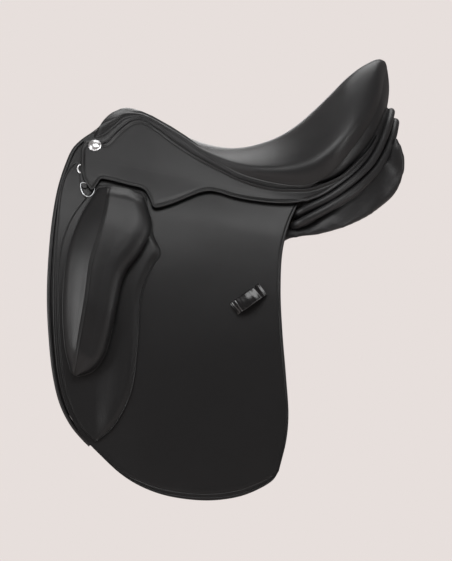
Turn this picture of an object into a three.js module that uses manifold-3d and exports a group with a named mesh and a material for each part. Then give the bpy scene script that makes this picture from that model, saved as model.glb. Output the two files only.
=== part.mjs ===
// English saddle of the dressage type, built from its separate leather, wood and metal pieces.
// +X runs to the cantle, +Y to the off (right) side and +Z up. The near (left) side lies at -Y.
import * as THREE from 'three';
import Module from 'manifold-3d';

const wasm = await Module();
wasm.setup();

// Driving sizes in millimetres
const LENGTH = 519;
const RISE = 230;
const DROP = 467;
const HALF_WIDTH = 215;
const CREASE_HEIGHT = 74.5;

// Leather, steel and wood thicknesses
const SWEAT_LEATHER = 3;
const WEB_THICKNESS = 1.5;
const STRAP_LEATHER = 3.5;
const FLAP_LEATHER = 3.5;
const OVERLAY_LEATHER = 2;
const CHAPE_LEATHER = 2.5;
const SKIRT_LEATHER = 3;
const SEAT_PADDING = 14;
const SEAT_RIM = 4;
const TREE_WOOD = 8;
const POINT_WOOD = 6;
const HEAD_STEEL = 4;

// Clearances
const GAP = 0.6;
const SEAM_GAP = 0.3;
const TREE_GAP = 0.8;
const STRAP_CLEARANCE = 2.4;
const SWING_CLEARANCE = 1;

// Single pieces
const NAIL_RADIUS = 9.6;
const NAIL_DOME = 4.5;
const BAR_HEIGHT = 11;
const BAR_STEEL = 5;
const BAR_SLOT = 9;
const BAR_PLATE = 3;
const BAR_LENGTH_SHARE = 0.154;
const BAR_LENGTH = BAR_LENGTH_SHARE * LENGTH;
const CATCH_LENGTH = 18;
const CATCH_STEEL = 3.4;
const CATCH_RADIUS = 4.4;
const STRAP_WIDTH = 25;
const STRAP_HOLE_RADIUS = 2.2;
const STRAP_HOLE_PITCH = 24;
const STRAP_HOLE_COUNT = 6;
const STRAP_HOLE_START = 36;
const WEB_WIDTH = 29;
const ROLL_UPPER_RADIUS = 6;
const ROLL_LOWER_RADIUS = 6;
const FRONT_ROLL_RADIUS = 3.4;
const FACING_LEATHER = 2;
const BLOCK_HEIGHT = 38;
const KEEPER_LEATHER = 2.4;
const KEEPER_ARCH = 8.5;
const DEE_WIRE_RADIUS = 1.5;
const DEE_HALF_WIDTH = 13;
const DEE_DROP_SHARE = 0.0535;
const DEE_DROP = DEE_DROP_SHARE * DROP;
const CHAPE_WIDTH = 13;
const SEAT_WEB_THICKNESS = 2;
const WELT_LIFT = 1.2;
const FACING_TUCK = 4.8;

// The side surface: half width at the crease line, its spread to the rear and its flare below
const CREASE_FALL_SHARE = 0.2;
const CREASE_HALF_SHARE = 0.466;
const CREASE_SPREAD_SHARE = 0.185;
const FLARE_SHARE = 0.4;
const FLARE_TAPER_SHARE = 0.133;
const FLARE_DROP_SHARE = 0.364;
const LEAN_FRONT_SHARE = 0.62;
const LEAN_REAR_SHARE = 0.12;
const LEAN_START_SHARE = -0.29;
const LEAN_END_SHARE = 0.23;
const REAR_CURL_START_SHARE = 0.202;
const REAR_CURL_SPAN_SHARE = 0.206;
const REAR_CURL_SHARE = 0.326;
const REAR_CURL_POWER = 2.6;

// Where the girth straps hang and where the flap swells over them
const STRAP_PLACE_SHARES = { front: -0.135, rear: 0.01 };
const STRAP_TOP_SHARE = 0.105;
const STRAP_FLAT_SHARE = 0.79;
const STRAP_END_SHARE = 0.925;
const WEB_TOP_SHARE = -0.05;
const WEB_END_SHARE = 0.15;
const SWELL_X_SHARES = [-0.42, -0.22, 0.1, 0.22];
const SWELL_N_SHARES = [-0.01, 0.135];

// Outlines, each point as [share of LENGTH along X, share down from the crease line]
const FLAP_TOP_SHARES = [
  [-0.441, 0.025], [-0.4, 0.014], [-0.372, 0.014], [-0.352, 0.052], [-0.13, 0.052],
  [-0.112, 0.012], [0.187, 0.009],
];
const FLAP_FRONT_SHARES = [
  [-0.441, 0.025], [-0.464, 0.058], [-0.481, 0.117], [-0.491, 0.213], [-0.499, 0.345],
  [-0.501, 0.463], [-0.497, 0.587], [-0.485, 0.702], [-0.458, 0.799], [-0.419, 0.867],
  [-0.386, 0.9],
];
const FLAP_FOOT_SHARES = [
  [-0.386, 0.9], [-0.316, 0.958], [-0.265, 0.984], [-0.201, 0.999], [-0.129, 0.999],
  [-0.053, 0.986], [0.022, 0.957], [0.078, 0.92], [0.115, 0.885], [0.131, 0.854],
];
const FLAP_REAR_SHARES = [
  [0.187, 0.009], [0.162, 0.077], [0.142, 0.165], [0.136, 0.291], [0.141, 0.42],
  [0.151, 0.554], [0.158, 0.674], [0.152, 0.753], [0.131, 0.854],
];
const SWEAT_TOP_SHARES = [
  [-0.404, -0.1], [-0.37, 0.02], [-0.355, 0.055], [-0.17, 0.055], [-0.16, 0.02], [0.165, 0.02],
];
const SWEAT_FRONT_SHARES = [
  [-0.404, -0.1], [-0.428, -0.035], [-0.447, 0.032], [-0.468, 0.108], [-0.483, 0.2],
  [-0.494, 0.304], [-0.5, 0.436], [-0.497, 0.553], [-0.484, 0.69], [-0.464, 0.772],
  [-0.436, 0.826], [-0.405, 0.862],
];
const SWEAT_FOOT_SHARES = [
  [-0.405, 0.862], [-0.33, 0.932], [-0.2, 0.968], [-0.05, 0.955], [0.06, 0.9], [0.105, 0.84],
];
const SWEAT_REAR_SHARES = [
  [0.165, 0.02], [0.13, 0.12], [0.115, 0.29], [0.12, 0.44], [0.132, 0.6], [0.13, 0.72],
  [0.105, 0.84],
];
const OVERLAY_TOP_SHARES = [[-0.374, 0.079], [-0.33, 0.066], [-0.29, 0.066], [-0.24, 0.079]];
const OVERLAY_FRONT_SHARES = [
  [-0.374, 0.079], [-0.418, 0.14], [-0.455, 0.21], [-0.478, 0.29], [-0.488, 0.4],
  [-0.4865, 0.54], [-0.4725, 0.702], [-0.4465, 0.79], [-0.415, 0.848], [-0.381, 0.877],
];
const OVERLAY_FOOT_SHARES = [[-0.381, 0.877], [-0.376, 0.873]];
const OVERLAY_REAR_SHARES = [
  [-0.24, 0.079], [-0.218, 0.199], [-0.198, 0.247], [-0.221, 0.296], [-0.253, 0.399],
  [-0.264, 0.566], [-0.281, 0.701], [-0.331, 0.82], [-0.376, 0.873],
];
const BLOCK_TOP_SHARES = [[-0.374, 0.087], [-0.332, 0.072], [-0.288, 0.071], [-0.245, 0.087]];
const BLOCK_FRONT_SHARES = [
  [-0.374, 0.087], [-0.419, 0.178], [-0.457, 0.298], [-0.47, 0.417], [-0.472, 0.509],
  [-0.464, 0.612], [-0.45, 0.672],
];
const BLOCK_FOOT_SHARES = [[-0.45, 0.672], [-0.44, 0.681], [-0.427, 0.683]];
const BLOCK_REAR_SHARES = [
  [-0.245, 0.087], [-0.224, 0.171], [-0.251, 0.253], [-0.3, 0.343], [-0.327, 0.477],
  [-0.358, 0.606], [-0.39, 0.659], [-0.427, 0.683],
];
const SKIRT_LOW_SHARES = [
  [-0.412, 0], [-0.421, 0.027], [-0.418, 0.057], [-0.408, 0.079], [-0.391, 0.099],
  [-0.376, 0.076], [-0.366, 0.059], [-0.348, 0.057], [-0.291, 0.06], [-0.245, 0.065],
  [-0.232, 0.085], [-0.223, 0.11], [-0.215, 0.114], [-0.171, 0.093], [-0.123, 0.061],
  [-0.089, 0.039], [-0.062, 0.028], [-0.035, 0.027], [0.009, 0.032], [0.06, 0.031],
  [0.127, 0.024], [0.176, 0.012], [0.206, 0],
];
const SKIRT_FRONT_SHARES = [[-0.412, 0], [-0.42, -0.052], [-0.41, -0.1], [-0.39, -0.112]];
const SEAM_LOW_SHARES = [
  [-0.39, -0.112], [-0.361, -0.108], [-0.349, -0.126], [-0.329, -0.181], [-0.308, -0.234],
  [-0.28, -0.289], [-0.25, -0.306], [-0.212, -0.277], [-0.169, -0.224], [-0.126, -0.176],
  [-0.084, -0.137], [-0.038, -0.102], [0.014, -0.067], [0.066, -0.049], [0.117, -0.047],
  [0.168, -0.064], [0.215, -0.09], [0.263, -0.146], [0.31, -0.22], [0.349, -0.317],
  [0.386, -0.422], [0.408, -0.513],
];
const TAIL_LOW_SHARES = [
  [0.21, 0], [0.251, -0.054], [0.302, -0.149], [0.346, -0.248], [0.386, -0.373],
  [0.408, -0.478],
];

// Seat stations: edge x and n, centre x and n, rear closing and dish, all as shares
const SEAT_STATION_SHARES = [
  [-0.377, -0.146, -0.318, -0.341, 1, 0],
  [-0.361, -0.176, -0.305, -0.358, 1, 0],
  [-0.329, -0.248, -0.291, -0.366, 1, 0],
  [-0.301, -0.311, -0.275, -0.368, 1, 0],
  [-0.255, -0.337, -0.245, -0.358, 1, 0],
  [-0.222, -0.32, -0.222, -0.344, 1, 0],
  [-0.169, -0.277, -0.169, -0.294, 1, 0],
  [-0.126, -0.234, -0.126, -0.261, 1, 0],
  [-0.089, -0.184, -0.089, -0.241, 1, 0],
  [-0.038, -0.137, -0.04, -0.236, 1, 0.15],
  [0.014, -0.096, 0.01, -0.252, 1, 0.4],
  [0.066, -0.079, 0.062, -0.292, 1, 0.8],
  [0.13, -0.076, 0.125, -0.368, 1, 1],
  [0.182, -0.087, 0.175, -0.46, 1, 1],
  [0.234, -0.128, 0.22, -0.57, 1, 1],
  [0.291, -0.249, 0.268, -0.699, 1, 1],
  [0.338, -0.396, 0.313, -0.82, 1, 0.9],
  [0.377, -0.537, 0.35, -0.905, 1, 0.7],
  [0.401, -0.645, 0.378, -0.955, 1, 0.4],
  [0.414, -0.73, 0.398, -0.982, 0.93, 0.2],
  [0.424, -0.84, 0.414, -0.99, 0.62, 0],
  [0.434, -0.925, 0.426, -0.984, 0, 0],
];
// Seat cross sections: share of the half width against share of the height over the edge
const SEAT_ROUND_SHARES = [[0, 1], [0.3, 0.975], [0.55, 0.89], [0.76, 0.71], [0.92, 0.43], [1, 0]];
const SEAT_DISH_SHARES = [[0, 0.86], [0.28, 0.9], [0.54, 1], [0.75, 0.93], [0.92, 0.62], [1, 0]];

// Cantle back: lower edge beside the seat's last stations, as x, n and closing
const CANTLE_LOW_SHARES = [
  [0.303, -0.2, 1], [0.35, -0.31, 1], [0.376, -0.4, 1], [0.397, -0.48, 1],
  [0.412, -0.555, 0.95], [0.424, -0.63, 0.62], [0.432, -0.678, 0],
];
const CANTLE_SEAM_SHARES = [
  [0.291, -0.249, 1], [0.338, -0.396, 1], [0.377, -0.537, 1], [0.401, -0.645, 1],
  [0.414, -0.73, 0.93], [0.424, -0.84, 0.62], [0.434, -0.925, 0],
];
const CANTLE_SWELL = 2.5;

// Rolls under the cantle and round the pommel, as x, n and closing to the centre line
const ROLL_UPPER_SHARES = [
  [0.444, -0.671, 0], [0.4405, -0.63, 0.72], [0.433, -0.562, 1], [0.415, -0.45, 1],
  [0.386, -0.323, 1], [0.335, -0.187, 1], [0.271, -0.052, 1], [0.2, 0.03, 0.97],
  [0.178, 0.05, 0.88],
];
const ROLL_LOWER_SHARES = [
  [0.455, -0.61, 0], [0.452, -0.568, 0.8], [0.447, -0.515, 1.08], [0.43, -0.407, 1.04],
  [0.397, -0.273, 1.02], [0.349, -0.144, 1.02], [0.279, -0.005, 1.02], [0.2, 0.063, 0.99],
  [0.172, 0.085, 0.89],
];
const FRONT_ROLL_SHARES = [
  [-0.336, -0.272, 0], [-0.343, -0.256, 0.35], [-0.357, -0.225, 0.7], [-0.386, -0.16, 0.95],
  [-0.416, -0.1, 1], [-0.44, -0.035, 1], [-0.459, 0.032, 1], [-0.48, 0.108, 1],
  [-0.495, 0.2, 1], [-0.505, 0.304, 1], [-0.511, 0.436, 1], [-0.508, 0.553, 1],
  [-0.495, 0.695, 1], [-0.475, 0.781, 1], [-0.446, 0.838, 1], [-0.415, 0.873, 1],
];

// Panel stations: x, outer top n, outer low n, outset of both, inner top y and n, inner low y and n
const PANEL_STATION_SHARES = [
  [-0.462, 0.12, 0.24, -0.03, 0.29, 0.13, 0.45, 0.25],
  [-0.448, 0.07, 0.34, -0.02, 0.235, 0.09, 0.46, 0.37],
  [-0.39, 0.15, 0.44, -0.02, 0.18, 0.06, 0.45, 0.45],
  [-0.24, 0.155, 0.45, -0.02, 0.165, 0.05, 0.42, 0.41],
  [-0.13, 0.15, 0.42, -0.02, 0.16, 0.03, 0.3, 0.28],
  [-0.03, 0.06, 0.36, -0.02, 0.16, 0.01, 0.18, 0.15],
  [0.08, 0.045, 0.23, -0.02, 0.16, -0.03, 0.17, 0.11],
  [0.145, 0.107, 0.143, -0.012, 0.16, -0.05, 0.17, 0.1],
  [0.195, 0.103, 0.126, 0.03, 0.16, -0.07, 0.17, 0.08],
  [0.27, 0.022, 0.094, 0.05, 0.16, -0.11, 0.17, 0.05],
  [0.36, -0.12, 0.041, 0.055, 0.16, -0.25, 0.17, 0],
  [0.425, -0.33, -0.055, 0.1, 0.165, -0.36, 0.175, -0.11],
  [0.447, -0.4, -0.125, 0.16, 0.18, -0.41, 0.18, -0.17],
  [0.46, -0.6, -0.17, 0.21, 0.19, -0.52, 0.185, -0.2],
  [0.484, -0.5, -0.25, 0.3, 0.2, -0.46, 0.19, -0.26],
];
const PANEL_RING_POWER = 3.6;
const PANEL_END_SHARE = 0.12;
const PANEL_TIP_SHARE = 0.35;

// Thigh block: height over its width and over its length, as shares of BLOCK_HEIGHT
const BLOCK_ACROSS_SHARES = [
  [0, 0.3], [0.06, 0.5], [0.16, 0.86], [0.27, 1], [0.38, 0.84], [0.55, 0.7], [0.78, 0.66],
  [0.93, 0.56], [1, 0.32],
];
const BLOCK_ALONG_SHARES = [[0, 0.5], [0.07, 0.82], [0.25, 1], [0.6, 0.95], [0.85, 0.72], [1, 0.4]];

// Small pieces: places as shares of LENGTH and of the drop
const NAIL_PLACE_SHARES = [-0.383, -0.085];
const BAR_PLACE_SHARES = [-0.337, 0.02];
const NAIL_PROFILE_SHARES = [[0, 0], [1, 0], [1, 0.3], [0.85, 0.62], [0.55, 0.9], [0, 1]];
const DEE_PLACE_SHARES = [-0.419, 0.062];
const DEE_OUTLINE_SHARES = [
  [-0.8, 0], [0.8, 0], [1, 0.12], [0.92, 0.5], [0.5, 0.88], [0, 1], [-0.5, 0.88], [-0.92, 0.5],
  [-1, 0.12],
];
const CHAPE_TOP_SHARE = 0.03;
const KEEPER_FRONT_SHARES = [0.005, 0.3795];
const KEEPER_REAR_SHARES = [0.086, 0.2985];
const KEEPER_WIDTH = 19;
const KEEPER_PROFILE_SHARES = [
  [0, 0], [0.1, 0], [0.2, 0.7], [0.35, 1], [0.5, 1], [0.65, 1], [0.8, 0.7], [0.9, 0], [1, 0],
];
const POINT_TOP_SHARES = [
  [-0.385, -0.1], [-0.36, -0.14], [-0.338, -0.222], [-0.3, -0.252], [-0.25, -0.248],
  [-0.2, -0.207], [-0.15, -0.152],
];
const POINT_FOOT_SHARE = 0.11;
const HEAD_PLACE_SHARE = -0.325;
const HEAD_WIDTH = 24;
const HEAD_FOOT_SHARE = 0.08;
const HEAD_TURN_SHARE = -0.09;
const HEAD_TOP_SHARE = -0.215;
const TREE_OPENING_SHARES = { start: 0.22, end: 0.8, across: 0.45 };
const TREE_EDGE_SHARE = 0.86;
const TREE_START_SHARE = 0.16;
const TREE_END_SHARE = 0.87;
const SEAT_WEBS_HALF_SHARE = 0.25;
const SEAT_WEBS_HOLD_SHARE = 0.045;

// Where the welt runs, counted in stations of the seat, and its part of the seam's points
const WELT_STATIONS = { start: 1.4, end: 12.15 };
const WELT_SEAM_ROWS = [2, 16];
const WELT_REACH_SHARE = 0.95;

// How finely the sheets and cushions are divided
const EDGE_STEP_SHARE = 0.02;
const EDGE_ROUND_SHARE = 0.3;
const TOP_ROW_POWER = 1.4;
const BLOCK_STEP_SHARE = 0.03;
const SKIRT_STEP_SHARE = 0.012;
const SKIRT_ROW_SHARE = 0.08;
const SKIRT_LEAN_SHARE = 0.1;
const SKIRT_TURN_SHARE = 0.68;
const WELT_ROW_SHARES = [0, 0.3, 0.7, 1];
const WELT_FOOT_SHARE = 0.6;
const WELT_DROP_SHARE = 0.2;
const FACING_REACH_SHARE = 0.96;
const WEB_ROW_SHARES = [-1, -0.4, 0.4, 1];

// Side surface

const clamp01 = (t) => Math.min(1, Math.max(0, t));
const mix = (a, b, t) => a + (b - a) * t;
const smooth = (t) => clamp01(t) ** 2 * (3 - 2 * clamp01(t));
const ramp = (from, to, value) => smooth((value - from) / (to - from));

// Length down from the crease line: above it the shares are of RISE, below it of DROP
const down = (share) => share * (share < 0 ? RISE : DROP);
const creaseHeight = (x) => CREASE_HEIGHT - CREASE_FALL_SHARE * x;
const place = ([x, n]) => [x * LENGTH, down(n)];

// Half width of the innermost side layer at x, at a length n down from the crease line
function sideHalf(x, n) {
  const curl = Math.max(0, (x / LENGTH - REAR_CURL_START_SHARE) / REAR_CURL_SPAN_SHARE);
  const crease = CREASE_HALF_SHARE * HALF_WIDTH + CREASE_SPREAD_SHARE * x
    - REAR_CURL_SHARE * HALF_WIDTH * curl ** REAR_CURL_POWER;
  if (n < 0) {
    const rear = ramp(LEAN_START_SHARE * LENGTH, LEAN_END_SHARE * LENGTH, x);
    return crease + mix(LEAN_FRONT_SHARE, LEAN_REAR_SHARE, rear) * n;
  }
  const flare = FLARE_SHARE * HALF_WIDTH - FLARE_TAPER_SHARE * x;
  return crease + flare * (1 - Math.exp(-n / (FLARE_DROP_SHARE * DROP)));
}

// Swell of the flap over the girth straps
const SWELL = STRAP_LEATHER + STRAP_CLEARANCE + SWING_CLEARANCE;
function swell(x, n) {
  const [front, full, fade, rear] = SWELL_X_SHARES.map((share) => share * LENGTH);
  const [start, end] = SWELL_N_SHARES.map((share) => share * DROP);
  return SWELL * ramp(front, full, x) * (1 - ramp(fade, rear, x)) * ramp(start, end, n);
}

// Layers, counted outward from the sweat flap's inner face
const WEB_IN = SWEAT_LEATHER + GAP;
const FLAP_IN = WEB_IN + WEB_THICKNESS + GAP;
const STRAP_IN = FLAP_IN + SEAM_GAP;
const FLAP_OUT = FLAP_IN + FLAP_LEATHER;
const OVERLAY_IN = FLAP_OUT + GAP;
const BLOCK_IN = OVERLAY_IN + OVERLAY_LEATHER + GAP;
const SKIRT_IN = FLAP_OUT + GAP + Math.max(CHAPE_LEATHER, 2 * DEE_WIRE_RADIUS) + GAP;
const SKIRT_OUT = SKIRT_IN + SKIRT_LEATHER;

// A point on the side at x, n down from the crease and offset outward
function sidePoint(side, x, n, offset) {
  return new THREE.Vector3(x, side * (sideHalf(x, n) + offset), creaseHeight(x) - n);
}

// Curves in the side view

function sideCurve(shares) {
  const points = shares.map(place).map(([x, n]) => new THREE.Vector3(x, n, 0));
  const curve = new THREE.CatmullRomCurve3(points, false, 'centripetal');
  return (t) => curve.getPointAt(t);
}

function straightCurve(shares) {
  const path = new THREE.CurvePath();
  const points = shares.map(place).map(([x, n]) => new THREE.Vector3(x, n, 0));
  points.slice(1).forEach((point, i) => path.add(new THREE.LineCurve3(points[i], point)));
  return (t) => path.getPointAt(t);
}

// Value of a table of [place, value] at t, with smooth joins
function tableValue(table, t) {
  const last = table.length - 1;
  const i = Math.min(last - 1, Math.max(0, table.findIndex((row) => row[0] >= t) - 1));
  const [a, b] = [table[i], table[i + 1]];
  return mix(a[1], b[1], smooth((t - a[0]) / (b[0] - a[0])));
}

// Steps from 0 to 1 with one short step at each end, where the sheet's edge is rounded
function steps(count, edge = EDGE_STEP_SHARE) {
  const inner = Array.from({ length: count - 1 }, (_, i) => mix(edge, 1 - edge, i / (count - 2)));
  return [0, ...inner, 1];
}

// Points of a four sided patch, blended from its four edges
function patch(edges, across, along) {
  const { top, foot, front, rear } = edges;
  const corners = [top(0), top(1), foot(0), foot(1)];
  return along.map((v) => across.map((u) => {
    const point = top(u).clone().multiplyScalar(1 - v).addScaledVector(foot(u), v)
      .addScaledVector(front(v), 1 - u).addScaledVector(rear(v), u);
    return point.addScaledVector(corners[0], -(1 - u) * (1 - v)).addScaledVector(corners[1], -u * (1 - v))
      .addScaledVector(corners[2], -(1 - u) * v).addScaledVector(corners[3], -u * v);
  }));
}

// Closed solids

// Numbers the points of a grid so that points in one place share one number
function numberGrid(grid, start) {
  const seen = new Map();
  const points = [];
  const ids = grid.map((row) => row.map((point) => {
    const key = [point.x, point.y, point.z].map((value) => Math.round(value * 1e4)).join();
    if (!seen.has(key)) {
      seen.set(key, start + points.length);
      points.push(point);
    }
    return seen.get(key);
  }));
  return { ids, points };
}

function solidGeometry(points, triangles) {
  const whole = triangles.filter(([a, b, c]) => a !== b && b !== c && a !== c);
  const volume = whole.reduce((sum, [a, b, c]) => (
    sum + points[a].dot(points[b].clone().cross(points[c]))), 0);
  const index = whole.flatMap(([a, b, c]) => (volume < 0 ? [a, c, b] : [a, b, c]));
  const geometry = new THREE.BufferGeometry();
  geometry.setAttribute('position', new THREE.Float32BufferAttribute(
    points.flatMap((point) => point.toArray()), 3));
  geometry.setIndex(index);
  geometry.computeVertexNormals();
  return geometry;
}

// Solid between an outer and an inner grid of the same layout, closed along its open edges
function shell(outer, inner, keep = () => true) {
  const front = numberGrid(outer, 0);
  const back = front.ids.map((row) => row.map((id) => id + front.points.length));
  const points = [...front.points];
  inner.forEach((row, j) => row.forEach((point, i) => {
    points[back[j][i]] = point;
  }));
  const triangles = [];
  const edges = new Map();
  const cells = outer.slice(1).flatMap((_, j) => outer[0].slice(1).map((__, i) => [j, i]));
  cells.filter(([j, i]) => keep(j, i)).forEach(([j, i]) => {
    const ring = [[j, i], [j, i + 1], [j + 1, i + 1], [j + 1, i]];
    const [a, b, c, d] = ring.map(([row, column]) => front.ids[row][column]);
    const [e, f, g, h] = ring.map(([row, column]) => back[row][column]);
    triangles.push([a, b, c], [a, c, d], [e, g, f], [e, h, g]);
    [[a, b], [b, c], [c, d], [d, a]].forEach(([from, to]) => edges.set(`${from}_${to}`, [from, to]));
  });
  const lift = front.points.length;
  edges.forEach(([from, to]) => {
    if (from !== to && !edges.has(`${to}_${from}`)) {
      triangles.push([to, from, from + lift], [to, from + lift, to + lift]);
    }
  });
  return solidGeometry(points, triangles);
}

// Tube through a row of closed rings, with a fan over each end
function loft(rings) {
  const size = rings[0].length;
  const points = rings.flat();
  const triangles = [];
  rings.slice(1).forEach((_, j) => rings[0].forEach((__, i) => {
    const next = (i + 1) % size;
    const [a, b] = [j * size + i, j * size + next];
    triangles.push([a, b, b + size], [a, b + size, a + size]);
  }));
  [0, rings.length - 1].forEach((j) => {
    const centre = rings[j].reduce((sum, point) => sum.add(point), new THREE.Vector3())
      .divideScalar(size);
    points.push(centre);
    rings[j].forEach((_, i) => {
      const [a, b] = [j * size + i, j * size + ((i + 1) % size)];
      triangles.push(j ? [a, b, points.length - 1] : [b, a, points.length - 1]);
    });
  });
  return solidGeometry(points, triangles);
}

// Round tube along a curve
function tube(curve, radius, sides, count) {
  const shape = new THREE.Shape();
  shape.absarc(0, 0, radius, 0, 2 * Math.PI);
  const geometry = new THREE.ExtrudeGeometry(shape, {
    steps: count, bevelEnabled: false, extrudePath: curve, curveSegments: sides / 2,
  });
  return geometry;
}

// Leather sheet on the side: a patch with an inner and an outer face and rounded edges
function sheet(side, grid, inFace, outFace) {
  const lastRow = grid.length - 1;
  const lastColumn = grid[0].length - 1;
  const face = (sign) => grid.map((row, j) => row.map((point, i) => {
    const [x, n] = [point.x, point.y];
    const [a, b] = [inFace(x, n, j, i), outFace(x, n, j, i)];
    const rim = j === 0 || i === 0 || j === lastRow || i === lastColumn;
    const round = rim ? EDGE_ROUND_SHARE * (b - a) : 0;
    return sidePoint(side, x, n, sign > 0 ? b - round : a + round);
  }));
  return shell(face(1), face(-1));
}

// Materials

const material = (color, roughness, metalness = 0) => (
  new THREE.MeshStandardMaterial({ color, roughness, metalness }));
const seatLeather = () => material(0x2b2b2c, 0.55);
const sideLeather = () => material(0x303031, 0.5);
const flapLeather = () => material(0x262627, 0.45);
const glossLeather = () => material(0x131314, 0.2);
const panelLeather = () => material(0x2f2f30, 0.6);
const woodFinish = () => material(0xb08a5a, 0.7);
const steelFinish = () => material(0x9aa0a4, 0.35, 1);
const polishedSteel = () => material(0xd8dadb, 0.15, 1);
const webCloth = () => material(0xe6e0d2, 0.9);

// Sheets of the side

const edgesOf = (top, foot, front, rear) => ({
  top: straightCurve(top), foot: sideCurve(foot), front: sideCurve(front), rear: sideCurve(rear),
});

function sweatFlap(side) {
  const edges = edgesOf(SWEAT_TOP_SHARES, SWEAT_FOOT_SHARES, SWEAT_FRONT_SHARES, SWEAT_REAR_SHARES);
  return sheet(side, patch(edges, steps(12), steps(11)), () => 0, () => SWEAT_LEATHER);
}

function flap(side) {
  const edges = edgesOf(FLAP_TOP_SHARES, FLAP_FOOT_SHARES, FLAP_FRONT_SHARES, FLAP_REAR_SHARES);
  const grid = patch(edges, steps(16), steps(14).map((v) => v ** TOP_ROW_POWER));
  return sheet(side, grid, (x, n) => FLAP_IN + swell(x, n), (x, n) => FLAP_OUT + swell(x, n));
}

function overlay(side) {
  const edges = edgesOf(OVERLAY_TOP_SHARES, OVERLAY_FOOT_SHARES, OVERLAY_FRONT_SHARES, OVERLAY_REAR_SHARES);
  const outside = OVERLAY_IN + OVERLAY_LEATHER;
  const grid = patch(edges, steps(6), steps(15).map((v) => v ** TOP_ROW_POWER));
  return sheet(side, grid, (x, n) => OVERLAY_IN + swell(x, n), (x, n) => outside + swell(x, n));
}

function thighBlock(side) {
  const edges = edgesOf(BLOCK_TOP_SHARES, BLOCK_FOOT_SHARES, BLOCK_FRONT_SHARES, BLOCK_REAR_SHARES);
  const across = BLOCK_ACROSS_SHARES.map((row) => row[0]);
  const along = steps(16, BLOCK_STEP_SHARE);
  const height = (j, i) => BLOCK_HEIGHT * BLOCK_ACROSS_SHARES[i][1] * tableValue(BLOCK_ALONG_SHARES, along[j]);
  const grid = patch(edges, across, along);
  const inside = grid.map((row) => row.map(({ x, y: n }) => sidePoint(side, x, n, BLOCK_IN + swell(x, n))));
  const outside = grid.map((row, j) => row.map(({ x, y: n }, i) => (
    sidePoint(side, x, n, BLOCK_IN + swell(x, n) + height(j, i)))));
  return shell(outside, inside);
}

// The lifting part of the skirt, under the crease line
function skirt(side) {
  const low = sideCurve(SKIRT_LOW_SHARES);
  const front = SKIRT_LOW_SHARES[0][0] * LENGTH;
  const across = steps(28, SKIRT_STEP_SHARE);
  const along = steps(4, SKIRT_ROW_SHARE);
  const grid = along.map((v) => across.map((u) => {
    const foot = low(u);
    const topX = Math.max(foot.x, front + u * (low(1).x - front) * SKIRT_LEAN_SHARE);
    return new THREE.Vector3(mix(topX, foot.x, v), mix(SEAM_GAP / 2, Math.max(foot.y, SEAM_GAP), v), 0);
  }));
  return sheet(side, grid, (x, n) => SKIRT_IN + swell(x, n), (x, n) => SKIRT_OUT + swell(x, n));
}

// The sewn part of the skirt, over the crease line, with its tail round the cantle
function skirtTop(side) {
  const [front0, rear0] = [SKIRT_FRONT_SHARES[0][0], TAIL_LOW_SHARES[0][0]];
  const crease = (t) => new THREE.Vector3(mix(front0, rear0, t) * LENGTH, 0, 0);
  const tail = sideCurve(TAIL_LOW_SHARES);
  const turn = SKIRT_TURN_SHARE;
  const foot = (t) => {
    const point = t < turn ? crease(t / turn) : tail((t - turn) / (1 - turn));
    return new THREE.Vector3(point.x, point.y - SEAM_GAP / 2, 0);
  };
  const top = sideCurve(SEAM_LOW_SHARES);
  const front = sideCurve([...SKIRT_FRONT_SHARES].reverse());
  const rear = (t) => top(1).clone().lerp(foot(1), t);
  const edges = { top, foot, front: (t) => (t === 1 ? foot(0) : front(t)), rear };
  const grid = patch(edges, steps(28, SKIRT_STEP_SHARE), steps(4, SKIRT_ROW_SHARE));
  return sheet(side, grid, () => SKIRT_IN, () => SKIRT_OUT);
}

// Seat

const edgePoint = ([x, n, close], offset) => {
  const [px, pn] = place([x, n]);
  return new THREE.Vector3(px, (sideHalf(px, pn) + offset) * close, creaseHeight(px) - pn);
};

// Centre and edge of the seat at t, from its stations
const seatEdgeCurve = new THREE.CatmullRomCurve3(
  SEAT_STATION_SHARES.map(([x, n, , , close]) => edgePoint([x, n, close], SKIRT_OUT)), false, 'centripetal');
const seatCentreCurve = new THREE.CatmullRomCurve3(
  SEAT_STATION_SHARES.map(([, , x, n]) => edgePoint([x, n, 0], 0)), false, 'centripetal');

// Half of one cross section of the seat, from the centre line to its edge
function seatSection(t, count) {
  const edge = seatEdgeCurve.getPoint(t);
  const centre = seatCentreCurve.getPoint(t);
  const row = t * (SEAT_STATION_SHARES.length - 1);
  const low = Math.min(SEAT_STATION_SHARES.length - 2, Math.floor(row));
  const dish = mix(SEAT_STATION_SHARES[low][5], SEAT_STATION_SHARES[low + 1][5], row - low);
  const toCurve = (shares) => new THREE.CatmullRomCurve3(shares.map(([a, b]) => new THREE.Vector3(a, b, 0)));
  const [round, dished] = [toCurve(SEAT_ROUND_SHARES), toCurve(SEAT_DISH_SHARES)];
  return Array.from({ length: count + 1 }, (_, i) => {
    const share = round.getPoint(i / count).lerp(dished.getPoint(i / count), dish);
    const across = i === count ? 1 : share.x;
    const up = i === count ? 0 : share.y;
    return new THREE.Vector3(
      mix(centre.x, edge.x, across ** 2), edge.y * across, mix(edge.z, centre.z, up));
  });
}

const SEAT_ROWS = 30;
const SEAT_COLUMNS = 7;
const SEAT_END_ROWS = 4;
const seatGrid = Array.from({ length: SEAT_ROWS + 1 }, (_, j) => {
  const half = seatSection(j / SEAT_ROWS, SEAT_COLUMNS);
  const mirrored = half.slice(1).reverse().map((point) => new THREE.Vector3(point.x, -point.y, point.z));
  return [...mirrored, ...half];
});

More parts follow.
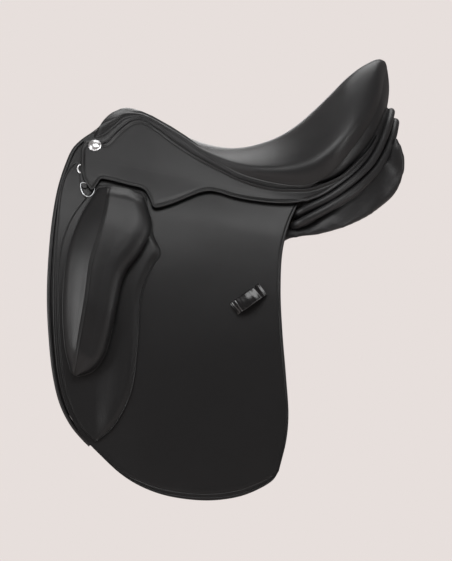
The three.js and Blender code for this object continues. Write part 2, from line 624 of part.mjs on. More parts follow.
// Unit normals of a grid, shared where points meet and turned towards a direction
function gridNormals(grid, towards) {
  const { ids, points } = numberGrid(grid, 0);
  const normals = points.map(() => new THREE.Vector3());
  grid.slice(1).forEach((_, j) => grid[0].slice(1).forEach((__, i) => {
    const ring = [ids[j][i], ids[j][i + 1], ids[j + 1][i + 1], ids[j + 1][i]];
    const [a, b, c, d] = ring.map((id) => points[id]);
    const normal = c.clone().sub(a).cross(d.clone().sub(b));
    ring.forEach((id) => normals[id].add(normal));
  }));
  const middle = ids[Math.floor(grid.length / 2)][Math.floor(grid[0].length / 2)];
  const sign = Math.sign(normals[middle].dot(towards));
  return ids.map((row) => row.map((id) => normals[id].clone().normalize().multiplyScalar(sign)));
}

// Grid moved along its own normals by a depth
function sunk(grid, normals, depth) {
  return grid.map((row, j) => row.map((point, i) => point.clone().addScaledVector(normals[j][i], -depth)));
}

const seatNormals = gridNormals(seatGrid, new THREE.Vector3(0, 0, 1));

// A layer of the seat's own shape, between two depths
function seatLayer(outerDepth, innerDepth, keep) {
  const at = (depth) => seatGrid.map((row, j) => row.map((point, i) => {
    const column = Math.abs(i - SEAT_COLUMNS);
    const moved = point.clone().addScaledVector(seatNormals[j][i], -depth(j, column));
    return column === SEAT_COLUMNS ? moved.setZ(Math.max(moved.z, point.z)) : moved;
  }));
  return shell(at(outerDepth), at(innerDepth), keep);
}

// Depth of the padding, thinner towards the edge and towards the cantle's top
function seatDepth(j, i) {
  const end = 1 - clamp01((SEAT_ROWS - j) / SEAT_END_ROWS);
  return mix(SEAT_PADDING, SEAT_RIM, Math.max((i / SEAT_COLUMNS) ** 3, end));
}

function seat() {
  return seatLayer(() => 0, seatDepth);
}

// The tree is an open frame: head, two rails and cantle
function tree() {
  const start = (j, i) => seatDepth(j, i) + TREE_GAP;
  const { start: from, end: to, across } = TREE_OPENING_SHARES;
  const keep = (j, i) => {
    const edge = Math.abs(i + 0.5 - SEAT_COLUMNS) / SEAT_COLUMNS;
    const along = (j + 0.5) / SEAT_ROWS;
    const open = along > from && along < to && edge < across;
    return edge < TREE_EDGE_SHARE && along > TREE_START_SHARE && along < TREE_END_SHARE && !open;
  };
  return seatLayer(start, (j, i) => start(j, i) + TREE_WOOD, keep);
}

// Straps stretched along the tree's opening, under the seat
function seatWebs() {
  const start = (j, i) => seatDepth(j, i) + TREE_GAP + TREE_WOOD + GAP;
  const { start: from, end: to } = TREE_OPENING_SHARES;
  const columns = Math.round(SEAT_COLUMNS * SEAT_WEBS_HALF_SHARE);
  const hold = SEAT_WEBS_HOLD_SHARE;
  const keep = (j, i) => {
    const along = (j + 0.5) / SEAT_ROWS;
    return Math.abs(i + 0.5 - SEAT_COLUMNS) < columns && along > from - hold && along < to + hold;
  };
  return seatLayer(start, (j, i) => start(j, i) + SEAT_WEB_THICKNESS, keep);
}

// Narrow sewn strip between the seat's edge and the skirt
function seatWelt(side) {
  const last = SEAT_STATION_SHARES.length - 1;
  const low = sideCurve(SEAM_LOW_SHARES.slice(...WELT_SEAM_ROWS));
  const across = steps(26, SKIRT_STEP_SHARE);
  const { start, end } = WELT_STATIONS;
  const face = (inset) => WELT_ROW_SHARES.map((v) => across.map((u) => {
    const top = seatEdgeCurve.getPoint(mix(start, end, u) / last);
    const foot = low(u * WELT_REACH_SHARE);
    const [topN, footN] = [creaseHeight(top.x) - top.z + 3 * GAP, foot.y - 3 * GAP];
    const x = mix(top.x, foot.x, v);
    const n = mix(mix(topN, footN, WELT_DROP_SHARE), footN, v);
    const rim = v === 0 || v === 1;
    const lift = rim ? -EDGE_ROUND_SHARE * SKIRT_LEATHER - inset * WELT_FOOT_SHARE : WELT_LIFT - inset;
    return sidePoint(side, x, n, SKIRT_OUT + lift);
  }));
  return shell(face(0), face(SKIRT_LEATHER));
}

// Leather strip that closes the back of the cantle, from one side round to the other
function cantleBack() {
  const curve = (shares, offset) => new THREE.CatmullRomCurve3(
    shares.map((row) => edgePoint(row, offset)), false, 'centripetal');
  const seam = curve(CANTLE_SEAM_SHARES, SKIRT_OUT);
  const low = curve(CANTLE_LOW_SHARES, SKIRT_IN - 3 * GAP);
  const count = 14;
  const rows = [0, 1, 2, 3, 4].map((k) => k / 4);
  const half = Array.from({ length: count + 1 }, (_, j) => rows.map((v) => {
    const [a, b] = [seam.getPoint(j / count), low.getPoint(j / count)];
    const point = a.clone().lerp(b, v);
    point.z -= 2 * GAP * (1 - v);
    point.x += CANTLE_SWELL * Math.sin(Math.PI * v);
    return point;
  }));
  const mirrored = half.slice(0, -1).map((row) => row.map((p) => new THREE.Vector3(p.x, -p.y, p.z)));
  const grid = [...mirrored, ...half.slice().reverse()];
  const normals = gridNormals(grid, new THREE.Vector3(1, 0, 0));
  return shell(grid, sunk(grid, normals, SKIRT_LEATHER));
}

// Leather facing of the front arch, between the seat's front edge and the front roll
function pommelFacing() {
  const rollPoints = FRONT_ROLL_SHARES.slice(0, 5).map((row) => edgePoint(row, SWEAT_LEATHER / 2));
  const foot = new THREE.CatmullRomCurve3(rollPoints, false, 'centripetal');
  const top = new THREE.CatmullRomCurve3(seatSection(0, SEAT_COLUMNS), false, 'centripetal');
  const count = 10;
  const half = Array.from({ length: count + 1 }, (_, j) => {
    const [a, b] = [top.getPointAt(j / count), foot.getPointAt((j / count) * FACING_REACH_SHARE)];
    a.x -= FACING_LEATHER;
    const whole = a.distanceTo(b);
    const places = [FACING_TUCK / whole, 1 / 2, 1 - (FRONT_ROLL_RADIUS + 2 * GAP) / whole];
    return places.map((v) => a.clone().lerp(b, v));
  });
  const mirrored = half.slice(1).reverse().map((row) => row.map((p) => new THREE.Vector3(p.x, -p.y, p.z)));
  const grid = [...mirrored, ...half];
  const normals = gridNormals(grid, new THREE.Vector3(-1, 0, 0));
  return shell(grid, sunk(grid, normals, FACING_LEATHER));
}

// Rolls round the rear and the front, from one side to the other
function roll(shares, radius, offset, count) {
  const half = shares.map((row) => edgePoint(row, offset));
  const mirrored = half.slice(1).reverse().map((p) => new THREE.Vector3(p.x, -p.y, p.z));
  const curve = new THREE.CatmullRomCurve3([...mirrored, ...half], false, 'centripetal');
  return tube(curve, radius, 8, count);
}

// Panel cushion: rounded four cornered rings along the saddle
function panel(side) {
  const columns = PANEL_STATION_SHARES[0].map((_, k) => (
    new THREE.CatmullRomCurve3(PANEL_STATION_SHARES.map((row, j) => new THREE.Vector3(j, row[k], 0)))));
  const ringSize = 16;
  const count = 24;
  const rings = Array.from({ length: count + 1 }, (_, j) => {
    const row = columns.map((curve) => curve.getPoint(j / count).y);
    const [x, topN, lowN, outset, inTopY, inTopN, inLowY, inLowN] = row;
    const px = x * LENGTH;
    const innermost = inTopY * HALF_WIDTH + GAP;
    const outer = (n) => [Math.max(sideHalf(px, down(n)) + outset * HALF_WIDTH, innermost), down(n)];
    const corners = [outer(topN), outer(lowN),
      [inLowY * HALF_WIDTH, down(inLowN)], [inTopY * HALF_WIDTH, down(inTopN)]];
    const middle = [0, 1].map((c) => corners.reduce((sum, corner) => sum + corner[c], 0) / 4);
    const end = clamp01(Math.min(j, count - j) / count / PANEL_END_SHARE);
    const full = mix(PANEL_TIP_SHARE, 1, Math.sqrt(1 - (1 - end) ** 2));
    return Array.from({ length: ringSize }, (__, k) => {
      const angle = (k / ringSize) * 2 * Math.PI;
      const unit = (value) => Math.sign(value) * Math.abs(value) ** (2 / PANEL_RING_POWER);
      const [s, t] = [(unit(Math.cos(angle)) + 1) / 2, (unit(Math.sin(angle)) + 1) / 2];
      const square = (c) => mix(mix(corners[3][c], corners[0][c], s), mix(corners[2][c], corners[1][c], s), t);
      const at = (c) => mix(middle[c], square(c), full);
      return new THREE.Vector3(px, side * at(0), creaseHeight(px) - at(1));
    });
  });
  return loft(rings);
}

// Tree, head and bars

// Front point of the tree, which carries the stirrup bar
function treePoint(side) {
  const [front, rear] = [POINT_TOP_SHARES[0][0], POINT_TOP_SHARES.at(-1)[0]];
  const places = Array.from({ length: 11 }, (_, i) => mix(front, rear, i / 10));
  const rows = [1, 0.5, 0, -1 / 3, -2 / 3, -1];
  const grid = rows.map((share) => places.map((x) => {
    const n = share > 0 ? share * tableValue(POINT_TOP_SHARES, x) : -share * POINT_FOOT_SHARE;
    return new THREE.Vector3(x * LENGTH, down(n), 0);
  }));
  return sheet(side, grid, () => -BAR_SLOT - POINT_WOOD, () => -BAR_SLOT);
}

// Steel arch over the withers, inside the tree points
function headPlate() {
  const middle = HEAD_PLACE_SHARE * LENGTH;
  const offset = -BAR_SLOT - POINT_WOOD - 2 * GAP;
  const widening = CREASE_SPREAD_SHARE - CREASE_FALL_SHARE * LEAN_FRONT_SHARE;
  const foot = (side) => [HEAD_FOOT_SHARE, HEAD_FOOT_SHARE / 2, 0, HEAD_TURN_SHARE].map((n) => (
    sidePoint(side, middle, down(n), offset)));
  const top = new THREE.Vector3(middle, 0, creaseHeight(middle) - down(HEAD_TOP_SHARE));
  const curve = new THREE.CatmullRomCurve3([...foot(-1), top, ...foot(1).reverse()], false, 'centripetal');
  const rows = Array.from({ length: 29 }, (_, j) => j / 28);
  const face = (depth) => rows.map((t) => {
    const point = curve.getPointAt(t);
    const tangent = curve.getTangentAt(t);
    const inward = new THREE.Vector3(0, tangent.z, -tangent.y).normalize();
    return [-1, 1].map((end) => {
      const along = (end * HEAD_WIDTH) / 2;
      const spread = Math.sign(point.y) * clamp01(Math.abs(point.y) / HEAD_WIDTH) * widening * along;
      return new THREE.Vector3(
        point.x + along, point.y + spread + inward.y * depth, point.z + inward.z * depth);
    });
  });
  return shell(face(0), face(HEAD_STEEL));
}

// Frame of the stirrup bar: along the crease line, outward and down the side surface
const barSlope = () => {
  const [x] = place(BAR_PLACE_SHARES);
  return (sideHalf(x, BAR_HEIGHT) - sideHalf(x, 0)) / BAR_HEIGHT;
};

// A point of the bar on the right side: a length along it, outward and down the side surface
function barPoint(along, out, fall) {
  const [startX, startN] = place(BAR_PLACE_SHARES);
  const [x, n] = [startX + along, startN + fall];
  return new THREE.Vector3(x, sideHalf(x, 0) + barSlope() * n + out, creaseHeight(x) - n);
}

// Moves a shape drawn as x along, y outward and z down into the bar's place
function seatOnCrease(geometry, side) {
  const position = geometry.attributes.position;
  for (let i = 0; i < position.count; i += 1) {
    const point = barPoint(position.getX(i), position.getY(i), position.getZ(i));
    position.setXYZ(i, point.x, side * point.y, point.z);
  }
  return side > 0 ? flipped(geometry) : geometry;
}

// Turns the faces of a mirrored shape outward again
function flipped(geometry) {
  const plain = geometry.index ? geometry.toNonIndexed() : geometry;
  const position = plain.attributes.position;
  for (let i = 0; i < position.count; i += 3) {
    const [b, c] = [1, 2].map((k) => new THREE.Vector3().fromBufferAttribute(position, i + k));
    position.setXYZ(i + 1, c.x, c.y, c.z);
    position.setXYZ(i + 2, b.x, b.y, b.z);
  }
  return plain;
}

const BAR_OUT = SKIRT_IN - STRAP_CLEARANCE - GAP;

// Stirrup bar: back plate on the tree point, turn at the front and blade open to the rear
function stirrupBar(side) {
  const back = -BAR_SLOT + SEAM_GAP;
  const blade = BAR_OUT - BAR_STEEL;
  const shape = new THREE.Shape();
  shape.moveTo(0, back);
  shape.lineTo(BAR_LENGTH, back);
  shape.lineTo(BAR_LENGTH, back + BAR_PLATE);
  shape.lineTo(BAR_STEEL * 2, back + BAR_PLATE);
  shape.quadraticCurveTo(BAR_STEEL, back + BAR_PLATE, BAR_STEEL, back + BAR_PLATE + BAR_STEEL);
  shape.lineTo(BAR_STEEL, blade - BAR_STEEL / 2);
  shape.quadraticCurveTo(BAR_STEEL, blade, BAR_STEEL * 1.5, blade);
  shape.lineTo(BAR_LENGTH, blade);
  shape.lineTo(BAR_LENGTH, BAR_OUT);
  shape.lineTo(BAR_STEEL, BAR_OUT);
  shape.quadraticCurveTo(0, BAR_OUT, 0, BAR_OUT - BAR_STEEL);
  shape.closePath();
  const geometry = new THREE.ExtrudeGeometry(shape, {
    depth: BAR_HEIGHT, bevelEnabled: false, curveSegments: 4,
  });
  return seatOnCrease(geometry, side);
}

// Safety catch at the open end of the bar, square to the blade and lying flat
function barCatch(side) {
  const tip = CATCH_LENGTH - CATCH_RADIUS;
  const shape = new THREE.Shape();
  shape.absarc(0, 0, CATCH_RADIUS, Math.PI / 2, (3 * Math.PI) / 2, false);
  shape.lineTo(tip / 2, -CATCH_RADIUS);
  shape.quadraticCurveTo(tip, -CATCH_RADIUS, tip, 0);
  shape.quadraticCurveTo(tip, CATCH_RADIUS, tip / 2, CATCH_RADIUS);
  shape.closePath();
  const geometry = new THREE.ExtrudeGeometry(shape, {
    depth: CATCH_STEEL, bevelEnabled: false, curveSegments: 6,
  });
  geometry.translate(0, 0, -CATCH_STEEL / 2);
  const along = new THREE.Vector3(1, CREASE_SPREAD_SHARE, -CREASE_FALL_SHARE).normalize();
  const out = along.clone().cross(new THREE.Vector3(0, barSlope(), -1)).normalize();
  const across = out.clone().cross(along);
  geometry.applyMatrix4(new THREE.Matrix4().makeBasis(along, across, out));
  const pivot = barPoint(BAR_LENGTH + CATCH_RADIUS + 2 * SEAM_GAP, BAR_OUT - BAR_STEEL / 2, BAR_HEIGHT / 2);
  geometry.translate(pivot.x, pivot.y, pivot.z);
  return side > 0 ? geometry : flipped(geometry.scale(1, -1, 1));
}

// Girth straps

function girthWeb(side, x) {
  const grid = [WEB_TOP_SHARE, 0, WEB_END_SHARE / 2, WEB_END_SHARE].map((n) => (
    WEB_ROW_SHARES.map((s) => new THREE.Vector3(x * LENGTH + (s * WEB_WIDTH) / 2, down(n), 0))));
  return sheet(side, grid, () => WEB_IN, () => WEB_IN + WEB_THICKNESS);
}

// Strap down the side, with one flat stretch at its foot that carries the holes
function girthStrap(side, x) {
  const middle = x * LENGTH;
  const flat = down(STRAP_FLAT_SHARE);
  const end = down(STRAP_END_SHARE);
  const top = down(STRAP_TOP_SHARE);
  const slopeAt = (n) => (sideHalf(middle + STRAP_WIDTH, n) - sideHalf(middle, n)) / STRAP_WIDTH;
  const places = [...Array.from({ length: 17 }, (_, k) => mix(top, flat, k / 16)), end];
  const point = (n, s, offset) => {
    const across = (s * STRAP_WIDTH) / 2;
    const flatSlope = slopeAt(Math.min(n, flat));
    const half = sideHalf(middle, n) + flatSlope * across + offset;
    return new THREE.Vector3(middle + across, side * half, creaseHeight(middle) - n);
  };
  const face = (offset) => places.map((n) => [-1, 1].map((s) => point(n, s, offset)));
  const solid = shell(face(STRAP_IN + STRAP_LEATHER), face(STRAP_IN));
  const holes = Array.from({ length: STRAP_HOLE_COUNT }, (_, k) => {
    const n = end - STRAP_HOLE_START - STRAP_HOLE_PITCH * k;
    const hole = new THREE.CylinderGeometry(STRAP_HOLE_RADIUS, STRAP_HOLE_RADIUS, STRAP_LEATHER * 6, 6);
    const centre = point(n, 0, STRAP_IN + STRAP_LEATHER / 2);
    return hole.translate(centre.x, centre.y, centre.z);
  });
  return cut(solid, holes);
}

// Takes the cutters out of a solid
function cut(geometry, cutters) {
  const whole = cutters.reduce((left, cutter) => left.subtract(toManifold(cutter)), toManifold(geometry));
  const mesh = whole.getMesh();
  const result = new THREE.BufferGeometry();
  result.setAttribute('position', new THREE.Float32BufferAttribute(mesh.vertProperties, 3));
  result.setIndex(Array.from(mesh.triVerts));
  result.computeVertexNormals();
  return result;
}

function toManifold(geometry) {
  const position = geometry.attributes.position;
  const order = geometry.index ? Array.from(geometry.index.array) : [...Array(position.count).keys()];
  const seen = new Map();
  const vertices = [];
  const index = order.map((i) => {
    const point = [position.getX(i), position.getY(i), position.getZ(i)];
    const key = point.map((value) => Math.round(value * 1e4)).join();
    if (!seen.has(key)) {
      seen.set(key, vertices.length / 3);
      vertices.push(...point);
    }
    return seen.get(key);
  });
  return new wasm.Manifold(new wasm.Mesh({
    numProp: 3, vertProperties: new Float32Array(vertices), triVerts: new Uint32Array(index),
  }));
}

// Small pieces on the side

// Outward unit normal of the side surface at x, n
function sideNormal(side, x, n) {
  const step = GAP;
  const origin = sidePoint(side, x, n, 0);
  const along = sidePoint(side, x + step, n, 0).sub(origin);
  const fall = sidePoint(side, x, n + step, 0).sub(origin);
  const normal = along.cross(fall).normalize();
  return normal.multiplyScalar(Math.sign(normal.y) * side);
}

// Polished round nail head on the skirt's front corner
function nailHead(side) {
  const profile = NAIL_PROFILE_SHARES.map(([r, h]) => new THREE.Vector2(r * NAIL_RADIUS, h * NAIL_DOME));
  const geometry = new THREE.LatheGeometry(profile, 20);
  const [x, n] = place(NAIL_PLACE_SHARES);
  const normal = sideNormal(side, x, n);
  const seatPoint = sidePoint(side, x, n, SKIRT_OUT).addScaledVector(normal, SEAM_GAP);
  geometry.applyQuaternion(new THREE.Quaternion().setFromUnitVectors(new THREE.Vector3(0, 1, 0), normal));
  return geometry.translate(seatPoint.x, seatPoint.y, seatPoint.z);
}

// Leather chape that holds the dee, under the skirt's front corner
function deeChape(side) {
  const [x, n] = place(DEE_PLACE_SHARES);
  const grid = [down(CHAPE_TOP_SHARE), n].map((fall) => (
    [-1, 1].map((s) => new THREE.Vector3(x + (s * CHAPE_WIDTH) / 2, fall, 0))));
  return sheet(side, grid, () => OVERLAY_IN, () => OVERLAY_IN + CHAPE_LEATHER);
}

// Front dee, hanging under its chape
function deeRing(side) {
  const [x, n] = place(DEE_PLACE_SHARES);
  const top = n + 2 * GAP + DEE_WIRE_RADIUS;
  const offset = OVERLAY_IN + DEE_WIRE_RADIUS;
  const points = DEE_OUTLINE_SHARES.map(([s, t]) => (
    sidePoint(side, x + s * DEE_HALF_WIDTH, top + t * DEE_DROP, offset)));
  const curve = new THREE.CatmullRomCurve3(points, true, 'centripetal');
  const rings = ringsAlong(curve, DEE_WIRE_RADIUS, 6, 24);
  return closedLoft(rings);
}

// Rings of a round wire along a closed curve
function ringsAlong(curve, radius, sides, count) {
  const frames = curve.computeFrenetFrames(count, true);
  return Array.from({ length: count }, (_, j) => {
    const centre = curve.getPointAt(j / count);
    return Array.from({ length: sides }, (__, k) => {
      const angle = (k / sides) * 2 * Math.PI;
      return centre.clone().addScaledVector(frames.normals[j], radius * Math.cos(angle))
        .addScaledVector(frames.binormals[j], radius * Math.sin(angle));
    });
  });
}

function closedLoft(rings) {
  const size = rings[0].length;
  const triangles = rings.flatMap((_, j) => rings[0].flatMap((__, i) => {
    const [row, after] = [j * size, ((j + 1) % rings.length) * size];
    const next = (i + 1) % size;
    return [[row + i, row + next, after + next], [row + i, after + next, after + i]];
  }));
  return solidGeometry(rings.flat(), triangles);
}

// Keeper: a slanted arched band with its ends sewn to the flap
function keeper(side) {
  const [front, rear] = [KEEPER_FRONT_SHARES, KEEPER_REAR_SHARES].map(place);
  const length = Math.hypot(rear[0] - front[0], rear[1] - front[1]);
  const [ux, un] = [(rear[0] - front[0]) / length, (rear[1] - front[1]) / length];
  const face = (lift) => KEEPER_PROFILE_SHARES.map(([t, rise]) => [-1, 0, 1].map((s) => {
    const across = (s * KEEPER_WIDTH) / 2;
    const x = front[0] + ux * length * t - un * across;
    const n = front[1] + un * length * t + ux * across;
    const crown = s === 0 ? KEEPER_LEATHER / 4 : 0;
    const offset = FLAP_OUT + GAP + swell(x, n) + rise * KEEPER_ARCH + lift * (KEEPER_LEATHER + crown);
    return sidePoint(side, x, n, offset);
  }));
  return shell(face(1), face(0));
}

// The whole saddle

const saddle = new THREE.Group();
function add(name, geometry, finish) {
  const mesh = new THREE.Mesh(geometry, finish);
  mesh.name = name;
  saddle.add(mesh);
}

add('seat', seat(), seatLeather());
add('tree', tree(), woodFinish());
add('seat_webs', seatWebs(), webCloth());
add('head_plate', headPlate(), steelFinish());
add('cantle_back', cantleBack(), sideLeather());
add('rear_roll_upper', roll(ROLL_UPPER_SHARES, ROLL_UPPER_RADIUS, SKIRT_IN, 34), panelLeather());
add('rear_roll_lower', roll(ROLL_LOWER_SHARES, ROLL_LOWER_RADIUS, SKIRT_IN, 34), panelLeather());
add('front_roll', roll(FRONT_ROLL_SHARES, FRONT_ROLL_RADIUS, SWEAT_LEATHER / 2, 46), sideLeather());
add('pommel_facing', pommelFacing(), sideLeather());

for (const [name, side] of [['left', -1], ['right', 1]]) {
  add(`panel_${name}`, panel(side), panelLeather());
  add(`tree_point_${name}`, treePoint(side), woodFinish());
  add(`sweat_flap_${name}`, sweatFlap(side), flapLeather());
  add(`flap_${name}`, flap(side), flapLeather());
  add(`overlay_${name}`, overlay(side), flapLeather());
  add(`thigh_block_${name}`, thighBlock(side), sideLeather());
  add(`skirt_${name}`, skirt(side), sideLeather());
  add(`skirt_top_${name}`, skirtTop(side), sideLeather());
  add(`seat_welt_${name}`, seatWelt(side), seatLeather());
  add(`stirrup_bar_${name}`, stirrupBar(side), steelFinish());
  add(`bar_catch_${name}`, barCatch(side), steelFinish());
  add(`nail_head_${name}`, nailHead(side), polishedSteel());
  add(`dee_chape_${name}`, deeChape(side), sideLeather());
  add(`dee_ring_${name}`, deeRing(side), polishedSteel());
  add(`keeper_${name}`, keeper(side), glossLeather());
  for (const [end, x] of Object.entries(STRAP_PLACE_SHARES)) {
    add(`girth_web_${end}_${name}`, girthWeb(side, x), webCloth());
    add(`girth_strap_${end}_${name}`, girthStrap(side, x), flapLeather());
  }
}

export default saddle;
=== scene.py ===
import math

import bmesh
import bpy
import numpy as np
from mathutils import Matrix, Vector
from mathutils.bvhtree import BVHTree


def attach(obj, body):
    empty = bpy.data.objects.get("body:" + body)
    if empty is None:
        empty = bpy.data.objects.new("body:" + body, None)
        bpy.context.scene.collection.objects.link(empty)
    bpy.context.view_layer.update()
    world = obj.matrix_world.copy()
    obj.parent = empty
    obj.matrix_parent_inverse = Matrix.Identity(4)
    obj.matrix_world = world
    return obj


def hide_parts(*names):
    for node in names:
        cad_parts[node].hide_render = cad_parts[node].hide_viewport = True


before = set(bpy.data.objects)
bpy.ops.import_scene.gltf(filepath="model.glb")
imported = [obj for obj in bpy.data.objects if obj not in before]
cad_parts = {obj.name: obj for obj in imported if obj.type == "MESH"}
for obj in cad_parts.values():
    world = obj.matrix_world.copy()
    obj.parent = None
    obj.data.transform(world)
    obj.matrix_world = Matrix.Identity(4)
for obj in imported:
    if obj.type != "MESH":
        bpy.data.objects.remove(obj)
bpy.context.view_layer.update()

# Driving sizes, in metres, the same as the CAD's
LENGTH = 0.519
RISE = 0.230
DROP = 0.467
HALF_WIDTH = 0.215
CREASE_HEIGHT = 0.0745
MM = 0.001
GAP = 0.6 * MM
FLAP_IN = 5.7 * MM
FLAP_OUT = 9.2 * MM
OVERLAY_IN = 9.8 * MM
OVERLAY_OUT = 11.8 * MM
BLOCK_IN = 12.4 * MM
BLOCK_HEIGHT = 38 * MM
SKIRT_IN = 13.4 * MM
SKIRT_OUT = 16.4 * MM
LABELS = {-1: "left", 1: "right"}
CURVE_SAMPLES = 24

# How far the sewn lines lie from the edges of their sheets
FLAP_BOUND_SEAM = 4.4 * MM
FLAP_FRONT_SEAM = 2.9 * MM
FLAP_FOOT_SEAM = 9.5 * MM
OVERLAY_FRONT_SEAM = 1.6 * MM
OVERLAY_REAR_SEAM = 2 * MM
BLOCK_SEAM_SIDE = 2.7 * MM
SKIRT_SEAM = 4.7 * MM
WELT_UPPER_SEAM = 5 * MM
WELT_LOWER_SEAM = 2.4 * MM

# Turns a point of one side into its mirror image
MIRROR = np.array([1, -1, 1])


# Side surface. A place on it is x along the saddle, n down from the crease and an offset outwards

def smooth(t):
    t = np.clip(t, 0, 1)
    return t * t * (3 - 2 * t)


# Distance from the crease, of a share of the drop below it or of the rise above it
def down(share):
    share = np.asarray(share, float)
    return np.where(share < 0, share * RISE, share * DROP)


def crease_height(x):
    return CREASE_HEIGHT - 0.2 * x


# How far the rear has risen along x, which makes the side steeper there
def rear_share(x):
    return smooth((x / LENGTH + 0.29) / 0.52)


def side_half(x, n):
    curl = np.maximum(0, (x / LENGTH - 0.202) / 0.206)
    crease = 0.466 * HALF_WIDTH + 0.185 * x - 0.326 * HALF_WIDTH * curl ** 2.6
    lean = 0.62 - 0.5 * rear_share(x)
    flare = 0.4 * HALF_WIDTH - 0.133 * x
    below = flare * (1 - np.exp(-np.maximum(n, 0) / (0.364 * DROP)))
    return crease + np.where(n < 0, lean * n, below)


# The flap stands out over the stirrup bar and the panel
def swell(x, n):
    a, b, c, d = [share * LENGTH for share in (-0.42, -0.22, 0.1, 0.22)]
    over = smooth((x - a) / (b - a)) * (1 - smooth((x - c) / (d - c)))
    return 6.9 * MM * over * smooth((n / DROP + 0.01) / 0.145)


# The skirt's two parts meet at the crease: their surface is rounded over it
def crease_fillet(x, n):
    reach = 16 * MM
    slope_up = 0.62 - 0.5 * rear_share(x)
    slope_down = (0.4 * HALF_WIDTH - 0.133 * x) / (0.364 * DROP)
    t = np.clip((reach - np.abs(n)) / reach, 0, 1)
    return (slope_down - slope_up) * reach / 4 * t * t


def side_point(side, x, n, offset):
    x, n, offset = np.broadcast_arrays(np.asarray(x, float), n, offset)
    return np.stack([x, side * (side_half(x, n) + offset), crease_height(x) - n], -1)


# Curves

# Smooth curve through points
def catmull(points, closed=False, samples=CURVE_SAMPLES):
    p = [np.asarray(q, float) for q in points]
    if closed:
        p = [p[-1]] + p + [p[0], p[1]]
    else:
        p = [2 * p[0] - p[1]] + p + [2 * p[-1] - p[-2]]
    out = []
    for i in range(len(p) - 3):
        p0, p1, p2, p3 = p[i:i + 4]
        d0, d1, d2 = [max(np.sum((b - a) ** 2) ** 0.25, 1e-9) for a, b in ((p0, p1), (p1, p2), (p2, p3))]
        t1 = ((p1 - p0) / d0 - (p2 - p0) / (d0 + d1) + (p2 - p1) / d1) * d1
        t2 = ((p2 - p1) / d1 - (p3 - p1) / (d1 + d2) + (p3 - p2) / d2) * d1
        last = i == len(p) - 4
        t = np.linspace(0, 1, samples + 1)[: samples + 1 if last else samples, None]
        a3, a2 = 2 * p1 - 2 * p2 + t1 + t2, -3 * p1 + 3 * p2 - 2 * t1 - t2
        out.append(((a3 * t + a2) * t + t1) * t + p1)
    return np.concatenate(out)


class Line:
    """A polyline read by its length, from 0 to 1."""

    def __init__(self, points):
        self.points = np.asarray(points, float)
        step = np.linalg.norm(np.diff(self.points, axis=0), axis=1)
        self.along = np.concatenate([[0], np.cumsum(step)])
        self.length = self.along[-1]

    def at(self, t):
        s = np.asarray(t, float) * self.length
        return np.stack([np.interp(s, self.along, self.points[:, k]) for k in range(self.points.shape[1])], -1)


# Places in metres, of rows in thousandths of the length and of the drop or rise
def places(rows):
    return [(x / 1000 * LENGTH, float(down(n / 1000))) for x, n in rows]


def curve_line(rows):
    return Line(catmull(places(rows)))


def straight_line(rows):
    return Line(places(rows))


# Four edges of a sheet, as lines
def outline(top, foot, front, rear):
    return [straight_line(top), curve_line(foot), curve_line(front), curve_line(rear)]


# Value of a table at t, with soft steps between its rows
def table_value(table, t):
    xs = [row[0] for row in table]
    ys = [row[1] for row in table]
    t = np.asarray(t, float)
    i = np.clip(np.searchsorted(xs, t) - 1, 0, len(xs) - 2)
    a, b = np.take(xs, i), np.take(xs, i + 1)
    return np.take(ys, i) + (np.take(ys, i + 1) - np.take(ys, i)) * smooth((t - a) / (b - a))


# Steps from 0 to 1 over a length, at chosen millimetres from each end and even between them
def fine_steps(length, count, start, end):
    head = [d * MM / length for d in start]
    tail = [1 - d * MM / length for d in end][::-1]
    values = np.concatenate([[0], head, np.linspace(head[-1], tail[0], count + 1), tail, [1]])
    return np.unique(np.round(values, 7))


# Fills the space between four edges, each given at the steps u or v
def fill_edges(top, foot, front, rear, corners, u, v):
    a, b, c, d = corners
    return (top * (1 - v) + foot * v + front * (1 - u) + rear * u - a * (1 - u) * (1 - v)
            - b * u * (1 - v) - c * (1 - u) * v - d * u * v)


def patch(top, foot, front, rear, across, along):
    corners = [top.at(0), top.at(1), foot.at(0), foot.at(1)]
    return fill_edges(top.at(across)[None], foot.at(across)[None], front.at(along)[:, None], rear.at(along)[:, None],
                      corners, across[None, :, None], along[:, None, None])


# Distance of every point of a grid from each of its four edges: top, foot, front and rear
def edge_distances(grid):
    rows = np.linalg.norm(np.diff(grid, axis=0), axis=-1)
    cols = np.linalg.norm(np.diff(grid, axis=1), axis=-1)
    zero_row = np.zeros((1, grid.shape[1]))
    zero_col = np.zeros((grid.shape[0], 1))
    top = np.concatenate([zero_row, np.cumsum(rows, 0)])
    front = np.concatenate([zero_col, np.cumsum(cols, 1)], 1)
    return top, top[-1:] - top, front, front[:, -1:] - front


# Meshes

SHARP_ANGLE = 50
PUFF_FRAMES = 16
PUFF_EVENING = 30


def new_object(name, verts, faces, layers=None):
    mesh = bpy.data.meshes.new(name)
    mesh.from_pydata([tuple(v) for v in verts], [], faces)
    for layer, values in (layers or {}).items():
        mesh.attributes.new(layer, "FLOAT", "POINT").data.foreach_set("value", np.ravel(values))
    bm = bmesh.new()
    bm.from_mesh(mesh)
    bmesh.ops.remove_doubles(bm, verts=bm.verts, dist=1e-6)
    bmesh.ops.dissolve_degenerate(bm, edges=bm.edges, dist=1e-7)
    bmesh.ops.recalc_face_normals(bm, faces=bm.faces)
    bm.to_mesh(mesh)
    bm.free()
    mesh.polygons.foreach_set("use_smooth", [True] * len(mesh.polygons))
    mesh.set_sharp_from_angle(angle=math.radians(SHARP_ANGLE))
    obj = bpy.data.objects.new(name, mesh)
    bpy.context.scene.collection.objects.link(obj)
    return obj


